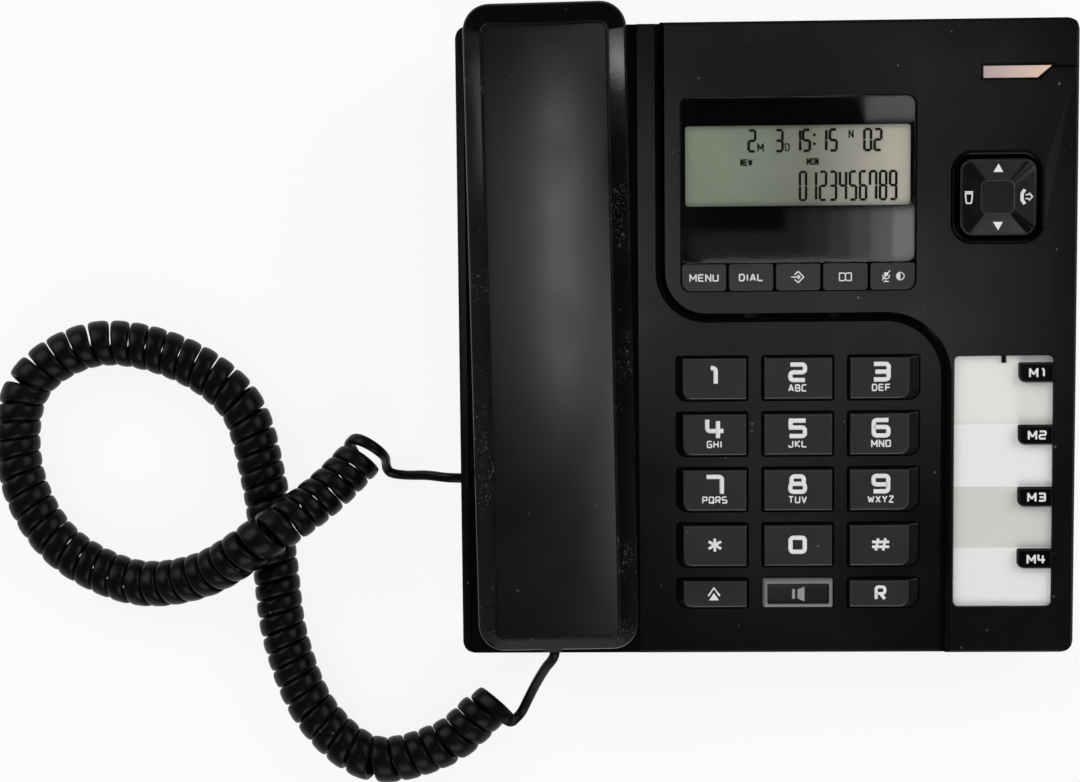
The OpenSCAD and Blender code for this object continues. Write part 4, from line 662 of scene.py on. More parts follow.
# Legends: white ink, grey on the speaker key, pad-printed on the caps in squared figures.
# Each print is a thin ribbon along its strokes or a filled patch, half sunk in its key.
INK_HEIGHT, STROKE_STEP = 0.06, 0.002
FIGURES = {
    "0": [[(0, 0), (0, 1), (1, 1), (1, 0), (0, 0)]],
    "1": [[(0.2, 1), (0.45, 1), (0.62, 0.88), (0.62, 0)]],
    "2": [[(0, 1), (1, 1), (1, 0.5), (0, 0.5), (0, 0), (1, 0)]],
    "3": [[(0, 1), (1, 1), (1, 0), (0, 0)], [(0.1, 0.5), (1, 0.5)]],
    "4": [[(0, 1.1), (0, 0.36), (1.12, 0.36)], [(0.74, 1), (0.74, -0.1)]],
    "5": [[(1.05, 1), (-0.11, 1)], [(0.02, 1), (0.02, 0.5)], [(-0.09, 0.55), (1, 0.55), (1, 0), (-0.05, 0)]],
    "6": [[(1, 1), (0, 1), (0, 0), (1, 0), (1, 0.55), (0, 0.55)]],
    "7": [[(-0.05, 1), (1, 1), (1, -0.1)]],
    "8": [[(0, 0), (0, 0.52), (1, 0.52), (1, 0), (0, 0)],
          [(0.08, 0.52), (0.08, 1), (0.92, 1), (0.92, 0.52)]],
    "9": [[(0, 0), (1, 0), (1, 1), (0, 1), (0, 0.45), (1, 0.45)]],
    "A": [[(0, 0), (0.45, 1), (0.55, 1), (1, 0)], [(0.2, 0.3), (0.8, 0.3)]],
    "B": [[(0, 0.5), (1, 0.5), (1, 0), (0, 0), (0, 1), (0.9, 1), (0.9, 0.5)]],
    "C": [[(1, 1), (0, 1), (0, 0), (1, 0)]],
    "D": [[(0, 0), (0, 1), (0.75, 1), (1, 0.75), (1, 0.25), (0.75, 0), (0, 0)]],
    "E": [[(1, 1), (0, 1), (0, 0), (1, 0)], [(0, 0.5), (0.9, 0.5)]],
    "F": [[(1, 1), (0, 1), (0, 0)], [(0, 0.5), (0.9, 0.5)]],
    "G": [[(1, 1), (0, 1), (0, 0), (1, 0), (1, 0.5), (0.5, 0.5)]],
    "H": [[(0, 0), (0, 1)], [(1, 0), (1, 1)], [(0, 0.5), (1, 0.5)]],
    "I": [[(0.5, 0), (0.5, 1)]],
    "J": [[(0.9, 1), (0.9, 0), (0, 0), (0, 0.3)]],
    "K": [[(0, 0), (0, 1)], [(1, 1), (0.1, 0.5), (1, 0)]],
    "L": [[(0, 1), (0, 0), (1, 0)]],
    "M": [[(0, -0.1), (0, 1.1)], [(0.02, 1), (0.5, 0.25)], [(0.5, 0.25), (0.98, 1)], [(1, 1.1), (1, -0.1)]],
    "N": [[(0, -0.1), (0, 1.1)], [(0, 1), (1, 0)], [(1, -0.1), (1, 1.1)]],
    "O": [[(0, 0), (0, 1), (1, 1), (1, 0), (0, 0)]],
    "P": [[(0, 0), (0, 1), (1, 1), (1, 0.45), (0, 0.45)]],
    "Q": [[(0, 0), (0, 1), (1, 1), (1, 0), (0, 0)], [(0.6, 0.25), (1.05, -0.15)]],
    "R": [[(0, 0), (0, 1), (1, 1), (1, 0.45), (0, 0.45)], [(0.5, 0.45), (1, 0)]],
    "S": [[(1, 1), (0, 1), (0, 0.5), (1, 0.5), (1, 0), (0, 0)]],
    "T": [[(0, 1), (1, 1)], [(0.5, 1), (0.5, 0)]],
    "U": [[(0, 1), (0, 0), (1, 0), (1, 1)]],
    "V": [[(0, 1), (0.45, 0), (0.55, 0), (1, 1)]],
    "W": [[(0, 1), (0.25, 0)], [(0.25, 0), (0.5, 0.8)], [(0.5, 0.8), (0.75, 0)], [(0.75, 0), (1, 1)]],
    "X": [[(0, 0), (1, 1)], [(0, 1), (1, 0)]],
    "Y": [[(0, 1), (0.5, 0.5), (1, 1)], [(0.5, 0.5), (0.5, 0)]],
    "Z": [[(0, 1), (1, 1)], [(1, 1), (0, 0)], [(0, 0), (1, 0)]],
    "*": [[(0.5, 0), (0.5, 1)], [(0, 0.22), (1, 0.78)], [(0, 0.78), (1, 0.22)]],
    "#": [[(0.22, 0), (0.36, 1)], [(0.64, 0), (0.78, 1)], [(0, 0.3), (1, 0.3)], [(0, 0.7), (1, 0.7)]],
}
SPANS = {"I": 0.25, "1": 0.8, "M": 1.25, "W": 1.3}

# Each sign on a key: its figure, its height over the cap's middle, and its width, height, line and corner.
KEY_SIGNS = {
    "key_1": ("1", 1.0, 5.8, 6.1, 1.35, 0.9),
    **{"key_%d" % n: (str(n), 1.9, 5.8, 6.1, 1.35, 0.9) for n in range(2, 10)},
    "key_0": ("0", 0.3, 5.7, 5.7, 1.35, 0.9),
    "key_star": ("*", 0.3, 4.7, 4.9, 0.85, 0),
    "key_hash": ("#", 0.3, 6.1, 4.6, 0.85, 0),
    "key_flash": ("R", 0.2, 3.6, 4.7, 0.95, 0.7),
}
KEY_LETTERS = {
    "key_2": "ABC", "key_3": "DEF", "key_4": "GHI", "key_5": "JKL", "key_6": "MNO", "key_7": "PQRS",
    "key_8": "TUV", "key_9": "WXYZ",
}
LETTERS_DOWN, LETTER_SIZE, LETTER_GAP, LETTER_LINE, LETTER_CORNER = -2.9, (1.7, 2.25), 0.3, 0.42, 0.25
LEGEND_ACROSS, SIGN_GAP = (0.6, -0.2, -1.0), 1
REDIAL_HOUSE, REDIAL_LINE = [(-1.2, -1.9), (1.8, -1.9), (0.3, 0.4)], 0.6
REDIAL_ROOF = [(-1.45, -0.55), (0.3, 2.0), (2.05, -0.55)]
SPEAKER_COIL = [(-1.9, -1.5), (-1.0, -1.5), (-1.0, 1.5), (-1.9, 1.5)]
SPEAKER_HORN = [(-0.2, -1.4), (1.9, -2.3), (1.9, 2.3), (-0.2, 1.4)]

printed_line, given, made = node_group(
    "printed_line", {"Strokes": "Geometry", "Line Width": "Float", "Corner Radius": "Float",
                     "Ink Height": "Float", "Ink": "Material"}, {"Print": "Geometry"}, "GeometryNodeTree")
level = put(printed_line, "GeometryNodeSetCurveNormal", {"Curve": given["Strokes"]}, mode="Z_UP").outputs[0]
bent = put(printed_line, "GeometryNodeFilletCurve", {
    "Curve": level, "Count": 5, "Radius": given["Corner Radius"], "Limit Radius": True},
    mode="POLY").outputs[0]
section = put(printed_line, "GeometryNodeCurvePrimitiveQuadrilateral", {
    "Width": given["Line Width"], "Height": given["Ink Height"]}, mode="RECTANGLE").outputs[0]
ribbon = put(printed_line, "GeometryNodeCurveToMesh", {
    "Curve": bent, "Profile Curve": section, "Fill Caps": True}).outputs[0]
whole = put(printed_line, "GeometryNodeRealizeInstances", {"Geometry": ribbon}).outputs[0]
inked = put(printed_line, "GeometryNodeSetMaterial", {"Geometry": whole, "Material": given["Ink"]})
printed_line.links.new(inked.outputs[0], made["Print"])
PRINT_SOCKETS = {s.name: s.identifier for s in printed_line.interface.items_tree if s.in_out == "INPUT"}


def printed(strokes, width, corner, ink, lay):
    """Mesh of ribbons along strokes given in millimetres, laid on a surface by lay(x, y, lift)."""
    curve = bpy.data.curves.new("strokes", "CURVE")
    curve.dimensions = "3D"
    for layer, stroke in enumerate(strokes):
        closed = stroke[0] == stroke[-1]
        line = curve.splines.new("POLY")
        line.points.add(len(stroke) - (2 if closed else 1))
        for point, (x, y) in zip(line.points, stroke):
            point.co = (x, y, STROKE_STEP * layer, 1)
        line.use_cyclic_u = closed
    drawn = bpy.data.objects.new("strokes", curve)
    scene.collection.objects.link(drawn)
    ribbons = drawn.modifiers.new("printed_line", "NODES")
    ribbons.node_group = printed_line
    sizes = {"Line Width": width, "Corner Radius": corner, "Ink Height": INK_HEIGHT, "Ink": ink}
    for label, value in sizes.items():
        ribbons[PRINT_SOCKETS[label]] = value
    graph = bpy.context.evaluated_depsgraph_get()
    mesh = bpy.data.meshes.new_from_object(drawn.evaluated_get(graph), depsgraph=graph)
    bpy.data.objects.remove(drawn)
    for v in mesh.vertices:
        v.co = lay(*v.co)
    return mesh


def written(words, centre, width, high, gap, line):
    """Strokes of a word, its figures of one width and height over all, centred at a point."""
    wide, tall = width - line, high - line
    steps = [wide * SPANS.get(c, 1) + line + gap for c in words]
    x = centre[0] - (sum(steps) - gap) / 2 + line / 2
    found = []
    for c, step in zip(words, steps):
        span = wide * SPANS.get(c, 1)
        for stroke in FIGURES[c]:
            found.append([(x + px * span, centre[1] - tall / 2 + py * tall) for px, py in stroke])
        x += step
    return found


def lettering(words, centre, width, high, gap, line, corner, ink, lay):
    """Mesh of a printed word."""
    return printed(written(words, centre, width, high, gap, line), line, corner, ink, lay)


def patch(shape, ink, lay):
    """Mesh of a filled printed shape, given by its outline in millimetres."""
    mesh = bpy.data.meshes.new("patch")
    n = len(shape)
    points = [lay(x, y, lift) for lift in (-INK_HEIGHT / 2, INK_HEIGHT / 2) for x, y in shape]
    sides = [(k, (k + 1) % n, n + (k + 1) % n, n + k) for k in range(n)]
    mesh.from_pydata(points, [], [tuple(range(n))[::-1], tuple(range(n, 2 * n))] + sides)
    mesh.materials.append(ink)
    return mesh


def on_cap(centre, top):
    """The surface of a flat cap whose middle is at centre."""
    return lambda x, y, lift: face_point(centre[0] + x, centre[1] + y, top + lift)


def ride_print(name, meshes, ink, body, slot):
    """One piece from several prints in one ink, riding on its key."""
    work = bmesh.new()
    for mesh in meshes:
        work.from_mesh(mesh)
        bpy.data.meshes.remove(mesh)
    fit(worked_piece(name, work, ink), body, slot)


white_ink = moulded("white_ink", (0.86, 0.86, 0.86), 0.5, grain=0.0002, depth=0.000005, dust=0.0)
grey_ink = moulded("grey_ink", (0.3, 0.3, 0.31), 0.5, grain=0.0002, depth=0.000005, dust=0.0)
for name, (column, row) in KEYS.items():
    centre, across = (KEY_COLUMNS[column], KEY_ROWS[row]), LEGEND_ACROSS[column]
    lay, ink, slot, prints = on_cap(centre, KEY_TOP), white_ink, "key_plastic", []
    if name in KEY_SIGNS:
        sign, up, wide, high, line, corner = KEY_SIGNS[name]
        prints.append(lettering(sign, (across, up), wide, high, SIGN_GAP, line, corner, ink, lay))
    if name in KEY_LETTERS:
        prints.append(lettering(KEY_LETTERS[name], (across, LETTERS_DOWN), *LETTER_SIZE, LETTER_GAP,
                                LETTER_LINE, LETTER_CORNER, ink, lay))
    if name == "key_redial":
        prints = [patch(REDIAL_HOUSE, ink, lay), printed([REDIAL_ROOF], REDIAL_LINE, 0, ink, lay)]
    if name == "key_speaker":
        lay, ink, slot = on_cap(centre, INSERT_TOP), grey_ink, "speaker_key_frame"
        prints = [patch(SPEAKER_COIL, ink, lay), patch(SPEAKER_HORN, ink, lay)]
    ride_print(name + "_legend", prints, ink, name + "_body", slot)

# Soft keys: five flat satin caps in a row under the window, in the same recess.
# They are moulded of black plastic, sit on the rubber mat like the number keys and carry white prints.
SOFT_COUNT, SOFT_MIDDLE, SOFT_PITCH, SOFT_ROW, SOFT_SIZE = 5, 9.8, 14.3, 116.23, (13.4, 8.1)
SOFT_ROUND, SOFT_CORNER, SOFT_LOW, SOFT_TOP, SOFT_EASE = 2.7, 1, 0.5, 1.7, 0.3
SOFT_WORDS, SOFT_LETTER, SOFT_LINE = ("MENU", "DIAL"), (1.9, 2.3, 0.32), 0.42
CONTRAST_X, CONTRAST_RADIUS = 2.3, 1.15


def contrast_arc(end, count):
    """Points of an arc of the contrast sign's disc, from its top anticlockwise to an angle."""
    angles = np.radians(np.linspace(90, end, count))
    return [(CONTRAST_X + CONTRAST_RADIUS * math.cos(a), CONTRAST_RADIUS * math.sin(a)) for a in angles]


contrast_ring = contrast_arc(450, 25)
contrast_ring[-1] = contrast_ring[0]
# The signs' strokes, each group with its line and corner: two words, an arrow entering a diamond,
# an open book, and a struck-out microphone beside a contrast disc.
SOFT_SIGNS = [
    *([(written(word, (0, 0), *SOFT_LETTER, SOFT_LINE), SOFT_LINE, 0.3)] for word in SOFT_WORDS),
    [([[(-1.1, 0.7), (0, 1.7), (1.7, 0), (0, -1.7), (-1.1, -0.7)], [(-2.1, 0), (0.5, 0)],
       [(-0.1, 0.6), (0.6, 0), (-0.1, -0.6)]], 0.38, 0.15)],
    [([[(0, -0.9), (-0.5, -1.2), (-1.8, -1.2), (-1.8, 1.1), (-0.5, 1.1), (0, 0.8), (0.5, 1.1),
        (1.8, 1.1), (1.8, -1.2), (0.5, -1.2), (0, -0.9)], [(0, 0.8), (0, -0.9)]], 0.34, 0.1)],
    [([[(-2, 0.15), (-2, 1.2)]], 1.15, 0),
     ([[(-2.95, 0.5), (-2.95, -0.6), (-1.05, -0.6), (-1.05, 0.5)], [(-2, -0.6), (-2, -1.6)],
       [(-2.8, -1.6), (-1.2, -1.6)], [(-3.2, -1.2), (-0.8, 1.8)]], 0.3, 0.5),
     ([contrast_ring], 0.3, 0)],
]
soft_black = moulded("soft_key_black", (0.026, 0.0245, 0.0235), 0.30, grain=0.0004, edge_wear_and_highlight=0.2)
for i, sign in enumerate(SOFT_SIGNS):
    name = "soft_key_%d" % (i + 1)
    centre = (SOFT_MIDDLE + SOFT_PITCH * (i - SOFT_COUNT // 2), SOFT_ROW)
    radii = front_rounds(i == 0, i == SOFT_COUNT - 1, SOFT_ROUND, SOFT_CORNER)
    piece = flat_cap(name + "_cap", centre, SOFT_SIZE, radii, SOFT_LOW, SOFT_TOP, SOFT_EASE, soft_black)
    fit(piece, name + "_body", "soft_key_plastic", name)
    lay = on_cap(centre, SOFT_TOP)
    prints = [printed(strokes, line, corner, white_ink, lay) for strokes, line, corner in sign]
    if i == SOFT_COUNT - 1:
        prints.append(patch(contrast_arc(270, 13), white_ink, lay))
    ride_print(name + "_legend", prints, white_ink, name + "_body", "soft_key_plastic")

# Display: a liquid-crystal panel on the board, a black mask plate and a clear acrylic window.
# The window and the mask lie in the fascia's recess, and the panel shows through the opening.
LCD_SPAN, LCD_SURFACE = (-0.0243, 0.0439), -1.47
# The panel's ramp runs from grey-green at the left to much paler at the right; the paler right end is
# painted light falling from the right.
LCD_TINTS_AND_PAINTED_LIGHT = [(0, (0.237, 0.285, 0.202)), (0.55, (0.18, 0.192, 0.152)), (1, (0.57, 0.54, 0.45))]
WINDOW_CENTRE, WINDOW_SIZE, WINDOW_ROUND = (9.8, 145.68), (71.0, 50.2), 2.7
WINDOW_LOW, WINDOW_TOP, WINDOW_EASE, WINDOW_FLATNESS = -0.35, 1.5, 0.3, 0.98
SEGMENTS = {"a": ((0, 1), (1, 1)), "b": ((1, 1), (1, 0.5)), "c": ((1, 0.5), (1, 0)), "d": ((0, 0), (1, 0)),
            "e": ((0, 0.5), (0, 0)), "f": ((0, 1), (0, 0.5)), "g": ((0, 0.5), (1, 0.5))}
LIT = {"0": "abcdef", "1": "bc", "2": "abged", "3": "abgcd", "4": "fgbc", "5": "afgcd", "6": "afgedc",
       "7": "fabc", "8": "abcdefg", "9": "abcdfg"}
SEGMENT_LINE, SEGMENT_GAP, SMALL_LINE = 0.74, 0.15, 0.42
NUMBER_LEFT, NUMBER_LOW, NUMBER_PITCH, NUMBER_SIZE = 10.55, 139.55, 3.03, (1.85, 8.5)
CLOCK_LOW, CLOCK_SIZE = 154.45, (2.0, 6.3)
CLOCK = [("2", -5.0), ("3", 3.25), ("1", 8.6), ("5", 11.5), ("1", 16.5), ("5", 19.6), ("0", 30.0),
         ("2", 33.1)]
CLOCK_DOTS = [[(14.9, 158.9), (14.9, 159.6)], [(14.9, 156.2), (14.9, 156.9)]]
SMALL_WORDS = [
    ("M", (-1.4, 155.6), 1.6, 2.4, 0.35), ("D", (6.7, 155.6), 1.5, 2.4, 0.35),
    ("N", (26.0, 159.4), 1.5, 2.3, 0.35), ("NEW", (-5.7, 151.1), 1.0, 2.0, 0.3),
    ("MON", (14.4, 151.2), 1.0, 2.0, 0.3),
]
SMALL_GAP = 0.2


def tinted_along(tree, axis, span, stops):
    """A colour ramp along one axis of the piece, between two places on it."""
    place = put(tree, "ShaderNodeTexCoord").outputs["Object"]
    along = put(tree, "ShaderNodeSeparateXYZ", {0: place}).outputs[axis]
    ramp = put(tree, "ShaderNodeValToRGB", {0: ranged(tree, along, 0, 1, *span)})
    set_ramp(ramp, stops)
    return place, ramp


# The panel is grey-green, and is painted paler towards its right end as painted light from the right.
lcd_grey_green, tree, shader = new_finish("lcd_grey_green")
spot, x_ramp = tinted_along(tree, "X", LCD_SPAN, LCD_TINTS_AND_PAINTED_LIGHT)
cloud = noise(tree, spot, 90.0, 3.0)
tone = ranged(tree, cloud, 0.94, 1.06, 0.3, 0.7)
colour = blended(tree, 1.0, x_ramp.outputs[0], tone, "MULTIPLY")
feed(tree, shader, colour, ranged(tree, cloud, 0.3, 0.45))
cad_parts["lcd_panel"].data.materials[0] = lcd_grey_green
mask_black = moulded("mask_black", (0.001, 0.001, 0.001), 0.6, grain=0.0008, depth=0.000004, dust=0.0,
                     specular=0.0)
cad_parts["display_bezel"].data.materials[0] = mask_black

window_acrylic, tree, shader = new_finish("window_acrylic")
spot = put(tree, "ShaderNodeTexCoord").outputs["Object"]
haze = ranged(tree, noise(tree, spot, 60.0, 5.0), 0.02, 0.05, 0.35, 0.75)
tree.links.new(haze, shader.inputs["Roughness"])
shader.inputs["Base Color"].default_value = (1, 1, 1, 1)
shader.inputs["Transmission Weight"].default_value = 1
shader.inputs["IOR"].default_value = 1.49
rays = put(tree, "ShaderNodeLightPath").outputs
light = worked(tree, "MAXIMUM", rays["Is Shadow Ray"], rays["Is Diffuse Ray"])
clear = put(tree, "ShaderNodeBsdfTransparent", {"Color": (1, 1, 1, 1)})
pane = put(tree, "ShaderNodeMixShader", {0: light, 1: shader.outputs[0], 2: clear.outputs[0]})
tree.links.new(pane.outputs[0], tree.nodes["Material Output"].inputs["Surface"])
piece = flat_cap("window_pane", WINDOW_CENTRE, WINDOW_SIZE, [WINDOW_ROUND] * 4, WINDOW_LOW, WINDOW_TOP,
                 WINDOW_EASE, window_acrylic)
piece.modifiers.clear()
for face in piece.data.polygons:
    face.use_smooth = abs(face.normal.z) < WINDOW_FLATNESS
fit(piece, "base", "window_plastic", "display_window")


def segment_strokes(figure, left, low, wide, tall):
    """Strokes of one seven-segment figure, each kept a little short of its neighbours."""
    found = []
    for segment in LIT[figure]:
        a, b = (np.array((left + x * wide, low + y * tall)) for x, y in SEGMENTS[segment])
        back = SEGMENT_GAP * unit(b - a)
        found.append([tuple(a + back), tuple(b - back)])
    return found


def on_lcd(x, y, lift):
    """The surface of the display panel."""
    return face_point(x, y, LCD_SURFACE + lift)


lcd_ink = moulded("lcd_segments", (0.004, 0.0045, 0.004), 0.5, depth=0.000002, dust=0.0, specular=0.05)
large, small = [], []
for i, figure in enumerate("0123456789"):
    large += segment_strokes(figure, NUMBER_LEFT + NUMBER_PITCH * i, NUMBER_LOW, *NUMBER_SIZE)
for figure, left in CLOCK:
    large += segment_strokes(figure, left, CLOCK_LOW, *CLOCK_SIZE)
large += CLOCK_DOTS
for words, centre, wide, high, line in SMALL_WORDS:
    small += written(words, centre, wide, high, SMALL_GAP, line)
prints = [printed(large, SEGMENT_LINE, 0, lcd_ink, on_lcd), printed(small, SMALL_LINE, 0, lcd_ink, on_lcd)]
ride_print("lcd_figures", prints, lcd_ink, "base", "display_glass")

# Message lamp: a slanted lens of pinkish translucent plastic let into the fascia.
# It is moulded in one piece and pressed in from behind.
LENS_SPAN, LENS_TINTS = (0.0653, 0.0858), [(0, (0.5, 0.4, 0.4)), (1, (0.86, 0.62, 0.5))]
lamp_pink, tree, shader = new_finish("lamp_pink")
spot, x_ramp = tinted_along(tree, "X", LENS_SPAN, LENS_TINTS)
ripple = noise(tree, spot, 500.0, 2.0)
feed(tree, shader, x_ramp.outputs[0], ranged(tree, ripple, 0.15, 0.3), ripple, 0.00003)
eased_copy("led_lens", "lamp_lens", 0.0002, lamp_pink, "base", "lamp_plastic")

# Navigation key: a square glossy cap that rocks on a rubber stem, with a four-sided dish.
# It is one black moulding in a round-cornered well of the fascia, with four white signs printed on it.
NAV_CENTRE, NAV_SIDE, NAV_RIM, NAV_DISH, NAV_TOP, NAV_LOW = (69.9, 139.88), 22.9, 21.9, 9.9, 3.0, 1.8
NAV_STATIONS = [(NAV_SIDE, 3.8, 0.6), (NAV_SIDE, 3.8, NAV_TOP), (NAV_RIM, 3.3, NAV_TOP),
                (NAV_DISH, 1.8, NAV_LOW), (8.0, 1.0, NAV_LOW)]
NAV_EASES = [0.35, 0.2, 0.4]
UP_SIGN, DOWN_SIGN = [(-1.5, 7.5), (1.5, 7.5), (0, 10.0)], [(0, -10.0), (1.5, -7.5), (-1.5, -7.5)]
BIN_SIGN = [[(-9.9, 1.1), (-9.6, -1.8), (-8.0, -1.8), (-7.7, 1.1), (-9.9, 1.1)], [(-10.1, 1.6), (-7.5, 1.6)]]
CALL_HANDSET = [(8.0, 2.2), (7.2, 1.0), (7.2, -1.0), (8.0, -2.2)]
CALL_ARROW = [(8.2, 0.6), (9.2, 0.6), (9.2, 1.2), (10.2, 0), (9.2, -1.2), (9.2, -0.6), (8.2, -0.6)]


def on_nav(x, y, lift):
    """The dished surface of the navigation key."""
    down = (NAV_RIM / 2 - max(abs(x), abs(y))) / ((NAV_RIM - NAV_DISH) / 2)
    depth = (NAV_TOP - NAV_LOW) * min(max(down, 0), 1)
    return face_point(NAV_CENTRE[0] + x, NAV_CENTRE[1] + y, NAV_TOP - depth + lift)


nav_black = moulded("nav_black", (0.003, 0.003, 0.0028), 0.14, grain=0.0006, depth=0.000004, edge_wear_and_highlight=0.3)
line, rim = eased(NAV_STATIONS, NAV_EASES)
rings = []
for side, radius, w in line:
    shape = outline((side, side), [radius] * 4)
    rings.append([face_point(NAV_CENTRE[0] + x, NAV_CENTRE[1] + y, w) for x, y in shape])
fit(skin("nav_cap", rings, rim, nav_black), "nav", "nav_plastic", "nav_key")
prints = [patch(shape, white_ink, on_nav) for shape in (UP_SIGN, DOWN_SIGN)]
prints += [printed(strokes, width, corner, white_ink, on_nav) for strokes, width, corner in (
    (BIN_SIGN, 0.45, 0.2), ([CALL_HANDSET], 1.0, 0.6), ([CALL_ARROW], 0.4, 0.1))]
ride_print("nav_legend", prints, white_ink, "nav", "nav_plastic")

# Memory label: a paper card with four bands under a clear cover, held in the fascia's recess.
# The cover is a thin sheet cut round the four tabs, and it lifts out when the card is changed.
CARD_FRONT, CARD_REAR, CARD_TOP = 14, 92, 0.4
CARD_BANDS = [(14, (0.94, 0.935, 0.925)), (32.3, (0.73, 0.725, 0.70)), (51.3, (0.96, 0.965, 0.95)),
              (70.5, (0.82, 0.81, 0.785))]
COVER_UNDERSIDE, COVER_GAP = 0.5, 0.00008
card_paper, tree, shader = new_finish("card_paper")
span = [face_point(0, v, CARD_TOP).y for v in (CARD_FRONT, CARD_REAR)]
stops = [((v - CARD_FRONT) / (CARD_REAR - CARD_FRONT), shade) for v, shade in CARD_BANDS]
spot, bands = tinted_along(tree, "Y", span, stops)
bands.color_ramp.interpolation = "CONSTANT"
fibre = noise(tree, spot, 900.0, 4.0)
tone = ranged(tree, fibre, 0.97, 1.0, 0.3, 0.7)
colour = blended(tree, 1.0, bands.outputs[0], tone, "MULTIPLY")
feed(tree, shader, colour, ranged(tree, fibre, 0.6, 0.8), fibre, 0.00001)
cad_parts["memory_card"].data.materials[0] = card_paper
sheet = merged_copy("memory_cover")
for corner in sheet.verts:
    if over_face(corner.co) < COVER_UNDERSIDE:
        corner.co += FACE_OUT * COVER_GAP
fit(worked_piece("card_cover", sheet, window_acrylic), "base", "cover_plastic", "memory_cover")

# Memory keys: four small black tabs at the card's right edge, with one front corner cut round.
# They are moulded of black plastic, stand on the rubber mat and carry white numbers.
TAB_COUNT, TAB_X, TAB_REAR, TAB_PITCH, TAB_SIZE = 4, 82.0, 86.6, 19.1, (10.2, 5.6)
TAB_ROUND, TAB_CORNER, TAB_LOW, TAB_TOP, TAB_EASE = 2, 0.6, -1, 2.6, 0.35
tab_black = moulded("memory_key_black", (0.002, 0.002, 0.0018), 0.2, grain=0.0004, edge_wear_and_highlight=0.2, specular=0.1)
for i in range(TAB_COUNT):
    centre, name = (TAB_X, TAB_REAR - TAB_PITCH * i), "memory_key_%d" % (i + 1)
    radii = front_rounds(True, False, TAB_ROUND, TAB_CORNER)
    piece = flat_cap(name + "_cap", centre, TAB_SIZE, radii, TAB_LOW, TAB_TOP, TAB_EASE, tab_black)
    fit(piece, name + "_body", "memory_key_plastic", name)
    lay = on_cap(centre, TAB_TOP)
    number = lettering("M%d" % (i + 1), (0.3, 0), 2.4, 2.8, 0.45, 0.6, 0.3, white_ink, lay)
    ride_print(name + "_legend", [number], white_ink, name + "_body", "memory_key_plastic")

# Handset: two black shells, the upper one a long bar with a nearly flat satin top and polished chamfers.
# They are screwed together from below, and the seam between them is a narrow shadow line.
HANDSET_SIZE, SPLIT, SHOULDER, TOP, CROWN = (49, 196), 7, 11, 17, 450
SIDE, FRONT, REAR, FOOT_ROUND, LIP_ROUND = 6.1, 4.8, 6.8, 8, 2.5
SEAM_HEIGHT, SEAM_TUCK, BAR_EASES, POLISHED_ROWS = 0.5, 0.4 / 24, [0.2, 1.3, 0.6], 15
TOP_INSETS, SETTLING_PASSES = range(2, 19, 2), 8


def bar_outline(share, inset=0.0):
    """The cover's outline between its shoulder, at share 0, and its top, at share 1."""
    wide = HANDSET_SIZE[0] - 2 * SIDE * share - 2 * inset
    long = HANDSET_SIZE[1] - (FRONT + REAR) * share - 2 * inset
    radius = max(FOOT_ROUND - (FOOT_ROUND - LIP_ROUND) * share - inset, 0.2)
    shape = outline((wide, long), [radius] * 4, steps=10, across=20)
    return [np.array((x, y + (FRONT - REAR) / 2 * share)) for x, y in shape]


def crown(x):
    """Height of the crowned top at a distance from its middle line."""
    return TOP - (CROWN - math.sqrt(CROWN ** 2 - x * x))


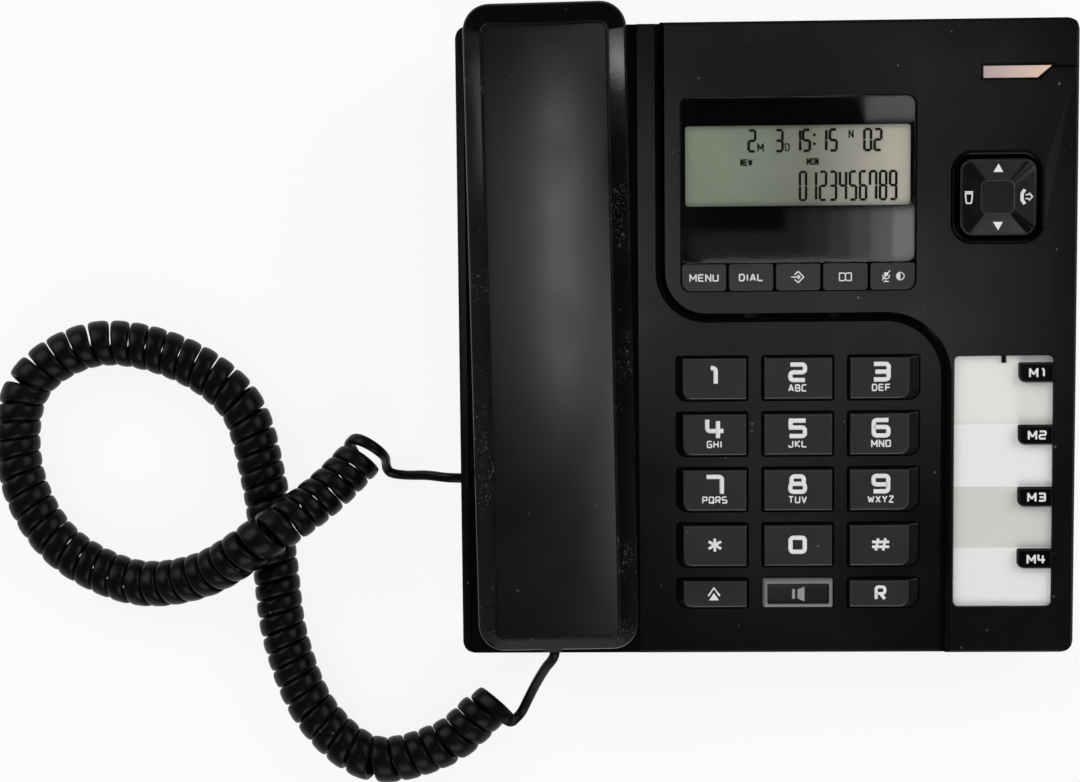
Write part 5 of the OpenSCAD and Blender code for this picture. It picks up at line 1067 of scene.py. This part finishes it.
foot, lip = bar_outline(0), bar_outline(1)
inner = [bar_outline(1, inset) for inset in TOP_INSETS]
stations = []
for k in range(len(foot)):
    share = 1.0
    for _ in range(SETTLING_PASSES):
        share = (crown((foot[k] + share * (lip[k] - foot[k]))[0]) - SHOULDER) / (TOP - SHOULDER)
    edge = foot[k] + share * (lip[k] - foot[k])
    on_top = [(*ring[k], crown(ring[k][0])) for ring in inner]
    corners = [(*(foot[k] * (1 - SEAM_TUCK)), SPLIT), (*foot[k], SPLIT + SEAM_HEIGHT), (*foot[k], SHOULDER),
               (*edge, crown(edge[0])), on_top[0]]
    line, rim = eased(corners, BAR_EASES)
    stations.append(line + on_top[1:])
rim += [0.0] * (len(inner) - 1)
rings = [[handset_point(*station[i]) for station in stations] for i in range(len(stations[0]))]
handset_black = moulded("handset_black", (0.0045, 0.0043, 0.0043), 0.17, grain=0.0005, depth=0.000004,
                        spread=0.02, dust=0.12, specular=0.8)
# The chamfers and the lower shell are polished and scuffed, and are also painted darker and barely
# reflective: painted shade on the chamfers.
handset_polish_and_shade = moulded("handset_polish_and_shade", (0.0012, 0.0012, 0.0012), 0.09, grain=0.0005, depth=0.000002,
                         spread=0.03, dust=0.12, edge_wear_and_highlight=0.07, scuff=0.5, specular=0.05)
piece = skin("handset_bar", rings, rim, handset_black, handset_polish_and_shade, second=range(POLISHED_ROWS))
fit(piece, "handset", "handset_plastic", "handset_cover")
eased_copy("handset_tub", "handset_back", 0.0005, handset_polish_and_shade, "handset", "handset_plastic")

# Screws: zinc-plated steel with round heads, driven in from below when the shells are closed.
# Each head that shows in its hole has a dark cross painted where the driver's cross recess is: painted shade
# standing in for the recess.
CROSS, CROSS_LINE = [[(-1.4, 0), (1.4, 0)], [(0, -1.4), (0, 1.4)]], 0.7
BASE_HEADS = [(-84, -18, 5), (-84, 35, 5), (88.2, -84, 5), (88.2, 84, 5), (-35.5, -86, 5), (-35.5, 84, 5),
              (58.75, 15, 2)]
HANDSET_HEADS = [(0, -24, 1.2), (0, 24, 1.2)]


def base_point(x, y, z):
    """A point of the base, from its middle at table height."""
    return (Vector((x, y, z)) + BASE_SHIFT) / 1000


def under_head(head, point):
    """The underside of a screw's head."""
    return lambda x, y, lift: point(head[0] + x, head[1] - y, head[2] - lift)


screw_zinc = moulded("screw_zinc", (0.35, 0.35, 0.34), 0.35, grain=0.0004, metal=1)
recess_painted_shade = moulded("recess_painted_shade", (0.01, 0.01, 0.01), 0.5, grain=0.0004)
for body, heads, point in (("base", BASE_HEADS, base_point), ("handset", HANDSET_HEADS, handset_point)):
    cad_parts[body + "_screws"].data.materials[0] = screw_zinc
    crosses = [printed(CROSS, CROSS_LINE, 0, recess_painted_shade, under_head(head, point)) for head in heads]
    ride_print(body + "_screw_recess_shade", crosses, recess_painted_shade, body, "screw_steel")
